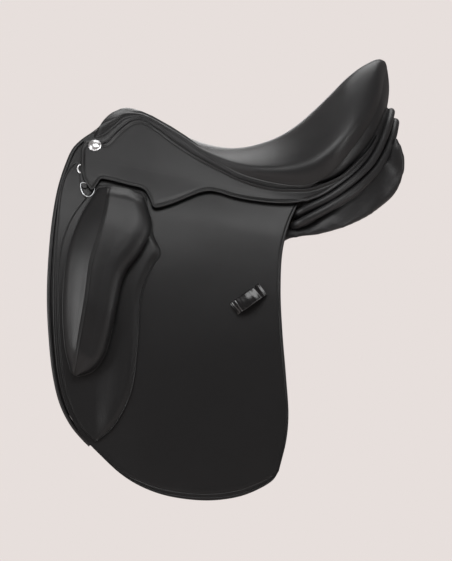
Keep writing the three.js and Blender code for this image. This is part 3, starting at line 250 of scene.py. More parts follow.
def grid_faces(rows, cols, start=0, flip=False, closed=False):
    out = []
    for j in range(rows - 1):
        for i in range(cols if closed else cols - 1):
            k = (i + 1) % cols
            a, b, c, d = [start + row * cols + column for row, column in ((j, i), (j, k), (j + 1, k), (j + 1, i))]
            out.append((a, d, c, b) if flip else (a, b, c, d))
    return out


# Closed sheet between an outer and an inner grid
def shell(name, outer, inner, relief=None, hold=None, seam=None):
    rows, cols = outer.shape[:2]
    n = rows * cols
    verts = np.concatenate([outer.reshape(-1, 3), inner.reshape(-1, 3)])
    faces = grid_faces(rows, cols) + grid_faces(rows, cols, n, True)
    ring = ([(0, i) for i in range(cols)] + [(j, cols - 1) for j in range(1, rows)]
            + [(rows - 1, i) for i in range(cols - 2, -1, -1)] + [(j, 0) for j in range(rows - 2, 0, -1)])
    ids = [j * cols + i for j, i in ring]
    for a, b in zip(ids, ids[1:] + ids[:1]):
        faces.append((b, a, a + n, b + n))
    layers = {}
    # The seam layer carries painted shade for grooves and joints, which the leather's colour reads
    for layer, values, back in (("relief", relief, 0), ("hold", hold, 1), ("seam", seam, 0)):
        if values is not None:
            layers[layer] = np.concatenate([np.broadcast_to(values, (rows, cols)).ravel(), np.full(n, back)])
    return new_object(name, verts, faces, layers)


# Values stored on the points of a piece, taken off it
def take_layer(mesh, layer):
    values = np.zeros(len(mesh.vertices))
    mesh.attributes[layer].data.foreach_get("value", values)
    mesh.attributes.remove(mesh.attributes[layer])
    return values


def point_array(mesh):
    co = np.zeros(len(mesh.vertices) * 3)
    mesh.vertices.foreach_get("co", co)
    return co.reshape(-1, 3)


def normal_array(mesh):
    normals = np.zeros(len(mesh.vertices) * 3)
    mesh.vertex_normals.foreach_get("vector", normals)
    return normals.reshape(-1, 3)


def move_points(mesh, co):
    mesh.vertices.foreach_set("co", co.ravel())
    mesh.update()


# Raises the surface by its stored relief, along the smooth normals
def raise_relief(obj):
    relief = take_layer(obj.data, "relief")
    move_points(obj.data, point_array(obj.data) + normal_array(obj.data) * relief[:, None])


# Lets stuffed leather swell as cloth under pressure. Points whose hold is 1 stay. What the cloth gains outwards is
# evened out over neighbouring points and scaled so that none moves past the cap
def puff(obj, hold, pressure, cap):
    mesh = obj.data
    hold = np.round(hold, 1)
    start = point_array(mesh)
    group = obj.vertex_groups.new(name="hold")
    for weight in np.unique(hold[hold > 0]):
        group.add(np.nonzero(hold == weight)[0].tolist(), float(weight), "REPLACE")
    modifier = obj.modifiers.new("swell", "CLOTH")
    cloth = modifier.settings
    cloth.quality = 5
    cloth.mass = 0.4
    cloth.tension_stiffness, cloth.compression_stiffness = 25, 25
    cloth.shear_stiffness, cloth.bending_stiffness = 12, 1.5
    cloth.use_pressure = True
    cloth.uniform_pressure_force = pressure
    cloth.effector_weights.gravity = 0
    cloth.vertex_group_mass = "hold"
    modifier.collision_settings.use_collision = False
    modifier.point_cache.frame_start, modifier.point_cache.frame_end = 1, PUFF_FRAMES
    scene = bpy.context.scene
    for frame_number in range(1, PUFF_FRAMES + 1):
        scene.frame_set(frame_number)
    shift = point_array(obj.evaluated_get(bpy.context.evaluated_depsgraph_get()).data) - start
    normals, edges = normal_array(mesh), np.zeros(len(mesh.edges) * 2, int)
    mesh.edges.foreach_get("vertices", edges)
    a, b = edges.reshape(-1, 2).T
    ends, others = np.concatenate([a, b]), np.concatenate([b, a])
    neighbours = np.maximum(np.bincount(ends, minlength=len(start)), 1)
    amount = np.clip(np.sum(shift * normals, axis=1), 0, None)
    for _ in range(PUFF_EVENING):
        amount = np.bincount(ends, amount[others], len(start)) / neighbours * (1 - hold)
    amount *= min(1, cap / max(amount.max(), 1e-9))
    obj.modifiers.remove(modifier)
    obj.vertex_groups.remove(group)
    move_points(mesh, start + normals * amount[:, None])
    scene.frame_set(1)


# The piece as its modifiers leave it
def apply_modifiers(obj):
    graph = bpy.context.evaluated_depsgraph_get()
    old, obj.data = obj.data, bpy.data.meshes.new_from_object(obj.evaluated_get(graph))
    obj.modifiers.clear()
    bpy.data.meshes.remove(old)


# Round bead along a path
def bead(name, path, radius, sides=10, closed=False):
    path = np.asarray(path, float)
    count = len(path)
    ahead, behind = np.roll(path, -1, 0), np.roll(path, 1, 0)
    if not closed:
        ahead[-1], behind[0] = path[-1], path[0]
    tangent = ahead - behind
    tangent /= np.linalg.norm(tangent, axis=1)[:, None]
    e1 = np.array([0.0, 1.0, 0.0]) - tangent * tangent[:, 1:2]
    e1 /= np.linalg.norm(e1, axis=1)[:, None]
    e2 = np.cross(tangent, e1)
    angle = np.arange(sides) / sides * 2 * np.pi
    ring = e1[:, None] * np.cos(angle)[None, :, None] + e2[:, None] * np.sin(angle)[None, :, None]
    verts = (path[:, None] + ring * radius).reshape(-1, 3)
    faces = grid_faces(count, sides, closed=True)
    if closed:
        last = (count - 1) * sides
        faces += [(last + i, last + (i + 1) % sides, (i + 1) % sides, i) for i in range(sides)]
    else:
        verts = np.concatenate([verts, path[:1], path[-1:]])
        n = count * sides
        faces += [(i, n, (i + 1) % sides) for i in range(sides)]
        faces += [(n - sides + i, n - sides + (i + 1) % sides, n + 1) for i in range(sides)]
    return new_object(name, verts, faces)


# Stitches: short rounded threads along a path that lies on a surface. The stations of one stitch are its place along
# the thread, its thickness and its height over the surface
def stitches(name, path, normals, pitch=3.4 * MM, length=2.5 * MM, radius=0.42 * MM):
    line = Line(path)
    count = max(2, int(line.length / pitch))
    centres = (np.arange(count) + 0.5) / count
    verts, faces = [], []
    stations = [(-0.5, 0.15, -0.5), (-0.38, 0.8, 0.1), (0, 1.0, 0.35), (0.38, 0.8, 0.1), (0.5, 0.15, -0.5)]
    sides = 6
    angle = np.arange(sides) / sides * 2 * np.pi
    for t in centres:
        c = line.at(t)
        step = 0.4 * length / line.length
        tangent = line.at(min(1, t + step)) - line.at(max(0, t - step))
        tangent /= np.linalg.norm(tangent)
        s = t * line.length
        normal = np.array([np.interp(s, line.along, normals[:, k]) for k in range(3)])
        normal /= np.linalg.norm(normal)
        across = np.cross(tangent, normal)
        tangent = tangent + 0.12 * across
        start = len(verts)
        for a, r, lift in stations:
            centre = c + tangent * a * length + normal * radius * lift
            for w in angle:
                verts.append(centre + (across * math.cos(w) + normal * 0.8 * math.sin(w)) * radius * r)
        faces += grid_faces(len(stations), sides, start, closed=True)
        faces.append(tuple(start + i for i in range(sides))[::-1])
        faces.append(tuple(start + (len(stations) - 1) * sides + i for i in range(sides)))
    return new_object(name, verts, faces)


# Outward normals of the side surface
def surface_normals(side, x, n):
    step = 0.5 * MM
    a = side_point(side, x + step, n, 0) - side_point(side, x - step, n, 0)
    b = side_point(side, x, n + step, 0) - side_point(side, x, n - step, 0)
    normal = np.cross(a, b)
    normal /= np.linalg.norm(normal, axis=-1)[..., None]
    return normal * np.sign(normal[..., 1:2]) * side


# A side curve moved sideways in the side view, for seams that follow an edge
def beside(points, distance):
    points = np.asarray(points, float)
    ahead, behind = np.roll(points, -1, 0), np.roll(points, 1, 0)
    ahead[-1], behind[0] = points[-1], points[0]
    t = ahead - behind
    t /= np.linalg.norm(t, axis=1)[:, None]
    return points + np.stack([-t[:, 1], t[:, 0]], -1) * distance


# Distance of every point of a grid from a line in the side view
def line_distance(grid, points):
    line = Line(points)
    points = line.at(np.linspace(0, 1, int(line.length / (2 * MM)) + 2))
    flat = grid.reshape(-1, 2)
    best = np.full(len(flat), 1.0)
    for a, b in zip(points[:-1], points[1:]):
        t = np.clip(((flat - a) @ (b - a)) / max(np.sum((b - a) ** 2), 1e-12), 0, 1)
        best = np.minimum(best, np.linalg.norm(flat - (a + t[:, None] * (b - a)), axis=1))
    return best.reshape(grid.shape[:2])


# The same line moved inward, towards a centre, and resampled
def inset(points, distance, centre, step=4 * MM):
    line = Line(points)
    points = line.at(np.linspace(0, 1, max(8, int(line.length / step))))
    moved = beside(points, distance)
    other = beside(points, -distance)
    near = [np.linalg.norm(path - np.asarray(centre), axis=1).sum() for path in (moved, other)]
    return moved if near[0] < near[1] else other


# Points of the side view, put on the side with its swell
def on_side(side, points, offset):
    x, n = np.asarray(points).T
    return side_point(side, x, n, offset + swell(x, n))


def side_body(kind, side):
    return kind if kind == "saddle" else f"{kind}_body_{LABELS[side]}"


# Sewn line: the points are dropped onto the surface of a piece
def sew(part, side, obj, points, body, **shape):
    mesh = obj.data
    tree = BVHTree.FromPolygons([v.co for v in mesh.vertices], [tuple(p.vertices) for p in mesh.polygons])
    hits = [tree.find_nearest(Vector(p)) for p in points]
    path, normals = [np.array([hit[k] for hit in hits]) for k in (0, 1)]
    add_piece(stitches(f"{part}_stitches_{LABELS[side]}", path, normals, **shape), "thread", side_body(body, side))


def piping(part, side, path, radius, look, body):
    add_piece(bead(f"{part}_{LABELS[side]}", path, radius), look, side_body(body, side))


# Materials

# Sets a node's inputs: a value is written there, and another node's output is linked
def plug(tree, node, sockets):
    for key, value in sockets.items():
        if isinstance(value, bpy.types.NodeSocket):
            tree.links.new(value, node.inputs[key])
        else:
            node.inputs[key].default_value = value
    return node


def add_node(tree, kind, sockets, **settings):
    node = tree.nodes.new("ShaderNode" + kind)
    for key, value in settings.items():
        setattr(node, key, value)
    return plug(tree, node, sockets)


def math_node(tree, operation, *values):
    return add_node(tree, "Math", dict(enumerate(values)), operation=operation).outputs["Value"]


def noise_node(tree, place, scale, **sockets):
    named = {key.capitalize(): value for key, value in sockets.items()}
    return add_node(tree, "TexNoise", {"Vector": place, "Scale": scale, **named})


def ramp_node(tree, value, stops):
    node = add_node(tree, "ValToRGB", {"Fac": value})
    ramp = node.color_ramp
    while len(ramp.elements) < len(stops):
        ramp.elements.new(0.5)
    for element, (at, color) in zip(ramp.elements, stops):
        element.position = at
        element.color = (*color, 1)
    return node.outputs["Color"]


def range_node(tree, value, **ends):
    sockets = {key.replace("_", " ").title(): end for key, end in ends.items()}
    return add_node(tree, "MapRange", {"Value": value, **sockets}).outputs["Result"]


def mix_color(tree, share, a, b, blend="MIX"):
    sockets = {"Factor": share, "A": a, "B": b}
    return add_node(tree, "Mix", sockets, data_type="RGBA", blend_type=blend).outputs["Result"]


def bump_node(tree, height, strength, distance, **below):
    sockets = {"Height": height, "Strength": strength, "Distance": distance}
    sockets.update({key.capitalize(): value for key, value in below.items()})
    return add_node(tree, "Bump", sockets).outputs["Normal"]


def start_material(name):
    material = bpy.data.materials.new(name)
    material.use_nodes = True
    return material, material.node_tree


def plug_material(material, sockets):
    plug(material.node_tree, material.node_tree.nodes["Principled BSDF"], sockets)
    return material


def object_place(tree):
    return add_node(tree, "TexCoord", {}).outputs["Object"]


def linear(value):
    value = value / 255
    return value / 12.92 if value <= 0.04045 else ((value + 0.055) / 1.055) ** 2.4


def tone(r, g, b):
    return (linear(r), linear(g), linear(b))


# Leather: a pebbled grain with pores, uneven colour, worn edges and painted shade in the sewn grooves
def leather(name, base, light, roughness, grain, pebble, shine, coat=0.0, wear=0.25):
    material, tree = start_material(name)
    place = object_place(tree)
    warp = noise_node(tree, place, pebble * 0.35, detail=2)
    bent = add_node(tree, "VectorMath", {0: warp.outputs["Color"], 1: (0.0014,) * 3, 2: place},
                    operation="MULTIPLY_ADD")
    cells = add_node(tree, "TexVoronoi", {"Vector": bent.outputs["Vector"], "Scale": pebble, "Randomness": 0.9},
                     feature="DISTANCE_TO_EDGE")
    creases = range_node(tree, cells.outputs["Distance"], from_max=0.12)
    pores = noise_node(tree, place, pebble * 2.1, detail=3).outputs["Fac"]
    height = add_node(tree, "Mix", {"Factor": 0.35, "A": creases, "B": pores}, data_type="FLOAT").outputs["Result"]
    broad = noise_node(tree, place, 9, detail=4, roughness=0.6).outputs["Fac"]
    tones = ramp_node(tree, broad, [(0.3, base), (0.72, light)])
    pits = ramp_node(tree, height, [(0.0, (0.45,) * 3), (0.5, (1,) * 3)])
    pitted = mix_color(tree, 0.28, tones, pits, "MULTIPLY")
    pointed = add_node(tree, "NewGeometry", {}).outputs["Pointiness"]
    edge = ramp_node(tree, pointed, [(0.52, (0,) * 3), (0.62, (1,) * 3)])
    pale = (*[min(1, c * 2.2 + 0.01) for c in light], 1)
    worn = mix_color(tree, math_node(tree, "MULTIPLY", edge, wear), pitted, pale)
    # The seam attribute holds painted shade: the base colour darkens to about an eighth of itself in grooves and
    # joints
    seam = add_node(tree, "Attribute", {}, attribute_name="seam").outputs["Fac"]
    fine = bump_node(tree, height, grain, 0.00025)
    return plug_material(material, {
        "Base Color": mix_color(tree, seam, worn, (*[c * 0.12 for c in base], 1)),
        "Roughness": range_node(tree, broad, to_min=roughness + 0.07, to_max=roughness - 0.05),
        "Normal": bump_node(tree, broad, 0.25, 0.003, normal=fine),
        "Specular IOR Level": shine, "Coat Weight": coat, "Coat Roughness": 0.18})


def metal(name, color, roughness, scratch, marks=0.08, shade=0.86):
    material, tree = start_material(name)
    stretch = add_node(tree, "Mapping", {"Vector": object_place(tree), "Scale": (1, 1, 14)})
    noise = noise_node(tree, stretch.outputs["Vector"], 260, detail=5).outputs["Fac"]
    return plug_material(material, {
        "Metallic": 1, "Base Color": ramp_node(tree, noise, [(0.3, [c * shade for c in color]), (0.7, color)]),
        "Roughness": range_node(tree, noise, to_min=roughness, to_max=roughness + scratch),
        "Normal": bump_node(tree, noise, marks, 0.0002)})


def wood(name):
    material, tree = start_material(name)
    stretch = add_node(tree, "Mapping", {"Vector": object_place(tree), "Scale": (1, 9, 9)})
    noise = noise_node(tree, stretch.outputs["Vector"], 18, detail=8, distortion=0.8).outputs["Fac"]
    stops = [(0.3, tone(122, 86, 52)), (0.55, tone(176, 138, 92)), (0.8, tone(196, 160, 114))]
    return plug_material(material, {"Base Color": ramp_node(tree, noise, stops), "Roughness": 0.62,
                                    "Normal": bump_node(tree, noise, 0.2, 0.0004)})


def webbing(name):
    material, tree = start_material(name)
    place = object_place(tree)
    waves = [add_node(tree, "TexWave", {"Vector": place, "Scale": 160, "Distortion": 0.6}, bands_direction=way)
             for way in ("X", "Z")]
    weave = math_node(tree, "MULTIPLY", *[wave.outputs["Fac"] for wave in waves])
    stops = [(0.0, tone(168, 160, 140)), (0.6, tone(226, 220, 204))]
    return plug_material(material, {"Base Color": ramp_node(tree, weave, stops), "Roughness": 0.9,
                                    "Normal": bump_node(tree, weave, 0.5, 0.0005)})


MATERIALS = {
    # The flap's leather is darker than the side's and the seat's: painted shade, for the upright flap that the top
    # light reaches less
    "flap": leather("flap_leather_painted_shade_look", tone(21, 21, 22), tone(28, 28, 29), 0.36, 0.24, 1100, shine=0.45),
    "side": leather("side_leather_look", tone(28, 28, 29), tone(35, 35, 36), 0.36, 0.24, 1100, shine=0.45),
    "seat": leather("seat_leather_look", tone(31, 31, 32), tone(38, 38, 39), 0.35, 0.22, 1300, shine=0.5),
    "panel": leather("panel_leather_look", tone(31, 31, 32), tone(39, 39, 40), 0.38, 0.26, 1000, shine=0.45),
    "gloss": leather("gloss_leather_look", tone(12, 12, 14), tone(18, 18, 20), 0.2, 0.05, 1500, coat=0.6, shine=0.5),
    "edge": leather("edge_leather_look", tone(24, 24, 25), tone(32, 32, 33), 0.36, 0.25, 1400, wear=0.4, shine=0.5),
    "thread": leather("thread_look", tone(16, 16, 17), tone(26, 26, 27), 0.5, 0.3, 2600, wear=0.0, shine=0.3),
    "polished": metal("polished_steel_look", (0.94, 0.94, 0.95), 0.3, 0.03, 0.01, 0.96),
    "ring": metal("ring_steel_look", (0.4, 0.41, 0.42), 0.2, 0.08, 0.03, 0.9),
    "steel": metal("steel_look", (0.6, 0.61, 0.62), 0.28, 0.15),
    "wood": wood("wood_look"),
    "webbing": webbing("webbing_look"),
}
CAD_LOOKS = {"tree": "wood", "head_plate": "steel", "stirrup_bar": "steel", "bar_catch": "steel",
             "seat_webs": "webbing", "girth_web": "webbing", "girth_strap": "flap"}


def add_piece(obj, look, body, replaced=()):
    obj.data.materials.clear()
    obj.data.materials.append(MATERIALS[look])
    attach(obj, body)
    if replaced:
        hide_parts(*replaced)
    return obj


for node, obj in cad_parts.items():
    for start, look in CAD_LOOKS.items():
        if node.startswith(start):
            obj.data.materials.clear()
            obj.data.materials.append(MATERIALS[look])


# Sheets of the side

RIM = (0.12, 0.35, 0.7, 1.2, 1.75)


# Rounded section of a sheet near its edges: share of the half thickness that is left
def rim_round(distance, radius):
    t = np.clip((radius - distance) / radius, 0, 1)
    return np.sqrt(np.maximum(0, 1 - t * t))


# Painted shade of a sewn groove, 0 to 1
def shade(distance, at, width=0.9 * MM):
    return np.exp(-((distance - at) / width) ** 2)


def groove(distance, at, width, depth):
    return -depth * shade(distance, at, width)


# Sewn grooves: the relief that they press into a sheet, and the painted shade in them. A row holds the distances from
# an edge, the groove's place, its width and depth in millimetres and how dark its painted shade is. The last argument
# is the width of that painted shade, in millimetres
def sewn(rows, painted_shade=0.9):
    relief = sum(groove(distance, at, width * MM, depth * MM) for distance, at, width, depth, _ in rows)
    return relief, np.max([dark * shade(distance, at, painted_shade * MM) for distance, at, _, _, dark in rows], axis=0)


# Sheet between two offsets from the side
def side_shell(name, side, x, n, outer, inner, **layers):
    return shell(name, side_point(side, x, n, outer), side_point(side, x, n, inner), **layers)


# Leather sheet on the side, with its inner and outer offset, a rounded rim and a relief
def side_sheet(name, side, grid, low, high, relief=0.0, rim=1.5 * MM, seam=None, lift=swell):
    x, n = grid[..., 0], grid[..., 1]
    distance = np.min(edge_distances(grid), axis=0)
    a, b = low + lift(x, n), high + lift(x, n)
    middle, half = (a + b) / 2, (b - a) / 2 * rim_round(distance, rim)
    return side_shell(name, side, x, n, middle + half + relief, middle - half, seam=seam)


def flat(x, n):
    return 0 * x


# Edges of the sheets, in thousandths of the length and of the drop or rise
FLAP_TOP = [(-441, 25), (-400, 14), (-372, 14), (-352, 52), (-130, 52), (-112, 12), (187, 9)]
FLAP_FRONT = [(-441, 25), (-464, 58), (-481, 117), (-491, 213), (-499, 345), (-501, 463), (-497, 587), (-485, 702),
              (-458, 799), (-419, 867), (-386, 900)]
FLAP_FOOT = [(-386, 900), (-316, 958), (-265, 984), (-201, 999), (-129, 999), (-53, 986), (22, 957), (78, 920),
             (115, 885), (131, 854)]
FLAP_REAR = [(187, 9), (162, 77), (142, 165), (136, 291), (141, 420), (151, 554), (158, 674), (152, 753), (131, 854)]
SWEAT_TOP = [(-404, -100), (-370, 20), (-355, 55), (-170, 55), (-160, 20), (165, 20)]
SWEAT_FRONT = [(-404, -100), (-428, -35), (-447, 32), (-468, 108), (-483, 200), (-494, 304), (-500, 436), (-497, 553),
               (-484, 690), (-464, 772), (-436, 826), (-405, 862)]
SWEAT_FOOT = [(-405, 862), (-330, 932), (-200, 968), (-50, 955), (60, 900), (105, 840)]
SWEAT_REAR = [(165, 20), (130, 120), (115, 290), (120, 440), (132, 600), (130, 720), (105, 840)]
OVERLAY_TOP = [(-374, 79), (-330, 66), (-290, 66), (-240, 79)]
OVERLAY_FRONT = [(-374, 79), (-418, 140), (-455, 210), (-478, 290), (-488, 400), (-486.5, 540), (-472.5, 702),
                 (-446.5, 790), (-415, 848), (-381, 877)]
OVERLAY_FOOT = [(-381, 877), (-376, 873)]
OVERLAY_REAR = [(-240, 79), (-218, 199), (-198, 247), (-221, 296), (-253, 399), (-264, 566), (-281, 701), (-331, 820),
                (-376, 873)]
BLOCK_TOP = [(-374, 87), (-332, 72), (-288, 71), (-245, 87)]
BLOCK_FRONT = [(-374, 87), (-419, 178), (-457, 298), (-470, 417), (-472, 509), (-464, 612), (-450, 672)]
BLOCK_FOOT = [(-450, 672), (-440, 681), (-427, 683)]
BLOCK_REAR = [(-245, 87), (-224, 171), (-251, 253), (-300, 343), (-327, 477), (-358, 606), (-390, 659), (-427, 683)]
SKIRT_LOW = [(-422, 0), (-422, 27), (-418, 57), (-408, 79), (-391, 99), (-376, 76), (-366, 59), (-348, 57), (-291, 60),
             (-245, 65), (-232, 85), (-223, 110), (-215, 114), (-171, 93), (-123, 61), (-89, 39), (-62, 28), (-35, 27),
             (9, 32), (60, 31), (127, 24), (176, 12), (206, 0)]
SKIRT_FRONT = [(-422, 0), (-421, -52), (-410, -100), (-390, -112)]
SEAM_LOW = [(-390, -112), (-361, -108), (-349, -126), (-329, -181), (-308, -234), (-280, -289), (-250, -306),
            (-212, -277), (-169, -224), (-126, -176), (-84, -137), (-38, -102), (14, -67), (66, -49), (117, -47),
            (168, -64), (215, -90), (263, -146), (310, -220), (349, -317), (386, -422), (408, -513)]
TAIL_LOW = [(210, 0), (251, -54), (302, -149), (346, -248), (386, -373), (408, -478)]


def make_flap(name, side):
    lines = outline(FLAP_TOP, FLAP_FOOT, FLAP_FRONT, FLAP_REAR)
    border = RIM + (2.3, 2.7, 3.1, 3.5, 3.9, 4.4, 4.9, 5.4, 6.2, 7.4, 8.4, 9, 9.5, 10, 10.6, 12)
    grid = patch(*lines, fine_steps(0.33, 70, border, border), fine_steps(0.42, 90, RIM, border))
    foot, front, rear = edge_distances(grid)[1:]
    bound = np.minimum(foot, rear)
    # The seam layer holds painted shade in the three sewn grooves
    relief, seam = sewn([(bound, FLAP_BOUND_SEAM, 0.7, 0.8, 0.8), (front, FLAP_FRONT_SEAM, 0.6, 0.6, 0.8),
                         (foot, FLAP_FOOT_SEAM, 0.7, 0.6, 0.56)])
    relief = relief + 0.6 * MM * smooth((5.2 * MM - bound) / (1.6 * MM)) * smooth(bound / (2 * MM))
    x, n = grid[..., 0], grid[..., 1]
    calm = smooth(np.minimum(bound, front) / (30 * MM))
    relief = relief + 0.6 * MM * np.sin(31 * x + 17 * n + 0.6) * np.sin(23 * n - 9 * x) * calm
    obj = side_sheet(name, side, grid, FLAP_IN, FLAP_OUT, relief, seam=seam)
    rear_foot = np.concatenate([lines[3].points, lines[1].points[::-1]])
    for part, line, distance in (("edge", rear_foot, FLAP_BOUND_SEAM), ("front", lines[2].points, FLAP_FRONT_SEAM),
                                 ("foot", lines[1].points, FLAP_FOOT_SEAM)):
        points = inset(line, distance, (-0.09, 0.22))[3:-3]
        sew(f"flap_{part}", side, obj, on_side(side, points, FLAP_OUT), "flap")
    return obj


# Its front edge comes forward under the front roll
def make_sweat_flap(name, side):
    lines = outline(SWEAT_TOP, SWEAT_FOOT, SWEAT_FRONT, SWEAT_REAR)
    forward = 4.5 * MM
    lines[2].points[:, 0] -= forward * smooth((1 - np.linspace(0, 1, len(lines[2].points))) / 0.1)
    lines[0].points[0, 0] -= forward
    grid = patch(*lines, fine_steps(0.32, 30, RIM, RIM), fine_steps(0.4, 40, RIM, RIM))
    return side_sheet(name, side, grid, 0, 3 * MM, lift=flat)


def make_overlay(name, side):
    lines = outline(OVERLAY_TOP, OVERLAY_FOOT, OVERLAY_FRONT, OVERLAY_REAR)
    rim = (0.1, 0.3, 0.7, 1, 1.3, 1.6, 1.9, 2.3, 2.8, 3.4, 4, 5, 6.5)
    across = fine_steps(0.12, 40, rim, rim)
    grid = patch(*lines, across, fine_steps(0.38, 90, rim[:4], rim[:4]))
    top, foot, front, rear = edge_distances(grid)
    # The seam layer holds painted shade in the front and rear sewn grooves
    relief, seam = sewn([(front, OVERLAY_FRONT_SEAM, 0.5, 0.5, 0.85), (rear, OVERLAY_REAR_SEAM, 0.6, 0.6, 0.85)], 0.7)
    stuffed = smooth((across[None, :] - 0.45) / 0.36) * smooth((rear - 1.5 * MM) / (9 * MM))
    relief = relief + 3.6 * MM * stuffed * smooth(top / (26 * MM)) * smooth(foot / (40 * MM))
    obj = side_sheet(name, side, grid, OVERLAY_IN, OVERLAY_OUT, relief, rim=1 * MM, seam=seam)
    for part, line, distance in (("rear", lines[3], OVERLAY_REAR_SEAM), ("front", lines[2], OVERLAY_FRONT_SEAM)):
        points = inset(line.points, distance, (-0.17, 0.2))[2:-2]
        sew(f"overlay_{part}", side, obj, on_side(side, points, OVERLAY_OUT), "flap", radius=0.36 * MM)
    return obj


# Thigh block: a crest along the seam, a hollow behind it and a soft rear part
SEAM_PLACE = catmull([(0, 0.25), (0.13, 0.31), (0.32, 0.385), (0.5, 0.43), (0.66, 0.42), (0.8, 0.37), (1, 0.3)])
BLOCK_ALONG = [(0, 0.62), (0.05, 0.9), (0.22, 1), (0.6, 0.95), (0.85, 0.72), (1, 0.4)]


def block_height(u, v):
    crest = np.interp(v, *SEAM_PLACE.T)
    climb = np.clip(u / crest, 0, 1)
    front = 0.3 + 0.7 * climb * (1.32 - 0.32 * climb)
    w = np.clip((u - crest) / (1 - crest), 0, 1)
    rear = 1 - 0.12 * smooth(w / 0.45) - 0.12 * w - 0.36 * np.clip((w - 0.6) / 0.4, 0, 1) ** 2
    return BLOCK_HEIGHT * table_value(BLOCK_ALONG, v) * np.where(u < crest, front, rear)


def make_block(name, side):
    lines = outline(BLOCK_TOP, BLOCK_FOOT, BLOCK_FRONT, BLOCK_REAR)
    rim = (0.3, 0.8, 1.6, 2.6)
    across, along = fine_steps(0.09, 54, rim, rim), fine_steps(0.27, 56, rim + (4,), rim + (4,))
    grid = patch(*lines, across, along)
    u, v = np.broadcast_arrays(across[None, :], along[:, None])
    edge, front = np.min(edge_distances(grid), axis=0), edge_distances(grid)[2]
    seam = (u - np.interp(v, *SEAM_PLACE.T)) * front[:, -1:]
    height = block_height(u, v) * (1 - 0.22 * np.clip(1 - edge / (7 * MM), 0, 1) ** 2)
    relief = groove(seam, 0, 0.8 * MM, 0.9 * MM) + 0.35 * MM * shade(np.abs(seam), 2.2 * MM, 1.3 * MM)
    relief = relief * smooth(edge / (5 * MM))
    # Painted shade: dark in the seam's groove, half as dark along the stitch rows beside it, and dark at the block's
    # edge where it sits on the flap
    painted_shade = np.max([shade(seam, 0, 0.8 * MM), 0.5 * shade(np.abs(seam), BLOCK_SEAM_SIDE, 0.6 * MM),
                  shade(edge, 0, 1.6 * MM)], axis=0)
    x, n = grid[..., 0], grid[..., 1]
    base = BLOCK_IN + swell(x, n)
    hold = np.maximum(np.clip(1 - (edge - 2 * MM) / (8 * MM), 0, 1), 0.6 * shade(seam, 0, 3 * MM))
    obj = side_shell(name, side, x, n, base + height, base, relief=relief, hold=hold, seam=painted_shade)
    puff(obj, take_layer(obj.data, "hold"), 60, 2.5 * MM)
    raise_relief(obj)
    for part, shift in (("front", -BLOCK_SEAM_SIDE), ("rear", BLOCK_SEAM_SIDE)):
        share = np.clip(np.interp(along, *SEAM_PLACE.T) + shift / front[:, -1], 0, 1)
        px, pn, rise = np.array([[np.interp(share[j], across, table[j]) for j in range(4, len(along) - 4)]
                                 for table in (x, n, height)])
        path = on_side(side, np.stack([px, pn], 1), BLOCK_IN + 2 * MM + rise)
        sew(f"block_{part}", side, obj, path, "flap", pitch=3.2 * MM, radius=0.4 * MM)
    border = np.concatenate([lines[2].points, lines[1].points[1:], lines[3].points[::-1][1:]])
    border = Line(border).at(np.linspace(0, 1, 240))
    piping("block_piping", side, on_side(side, border, BLOCK_IN + 1.1 * MM), 1.3 * MM, "side", "flap")
    return obj


SKIRT_STEPS = (0.3, 0.8, 1.5, 2.4, 3.4, 4.5, 5.5, 7)
SKIRT_BORDER = RIM + (2.4, 3.2, 4, 4.5, 5, 5.5, 6, 7.5)


# Both parts of the skirt have the same section: a bead outside the sewn groove
def skirt_shell(name, side, grid, edge):
    x, n = grid[..., 0], grid[..., 1]
    middle = (SKIRT_IN + SKIRT_OUT) / 2 + crease_fillet(x, n) + swell(x, n)
    half = (SKIRT_OUT - SKIRT_IN) / 2 * rim_round(edge, 1.5 * MM)
    # The seam layer holds painted shade in the sewn groove
    relief, seam = sewn([(edge, SKIRT_SEAM, 0.8, 0.7, 0.85)])
    relief = relief + 0.8 * MM * smooth((4.2 * MM - edge) / (2.6 * MM)) * smooth(edge / (1.4 * MM))
    return side_shell(name, side, x, n, middle + half + relief, middle - half, seam=seam)


def make_skirt(name, side):
    low = curve_line(SKIRT_LOW)
    front, rear = low.at(0)[0], low.at(1)[0]
    across = fine_steps(0.36, 150, SKIRT_STEPS, SKIRT_STEPS)
    feet = low.at(across)
    top_x = np.minimum(np.maximum(feet[:, 0], front + across * (rear - front) * 0.1), rear)
    depth = np.maximum(feet[:, 1], 0.3 * MM)
    share = []
    for d in depth:
        rows = np.clip(1 - np.array(SKIRT_BORDER[::-1]) * MM / d, 0.3, 1)
        upper = np.linspace(0.3, max(0.31, rows[0]), 5)[1:]
        share.append(np.concatenate([np.linspace(0, 0.3, 5), upper, rows[1:], [1]]))
    v = np.sort(np.array(share), axis=1).T[..., None]
    tops, lows = np.stack([top_x, 0 * top_x], -1), np.stack([feet[:, 0], depth], -1)
    grid = tops * (1 - v) + lows * v
    obj = skirt_shell(name, side, grid, line_distance(grid, low.points))
    line = inset(low.points, SKIRT_SEAM, (-0.03, -0.1), 2.5 * MM)
    line = line[line[:, 1] > 7 * MM]
    sew("skirt", side, obj, on_side(side, line, SKIRT_OUT), "skirt")
    return obj


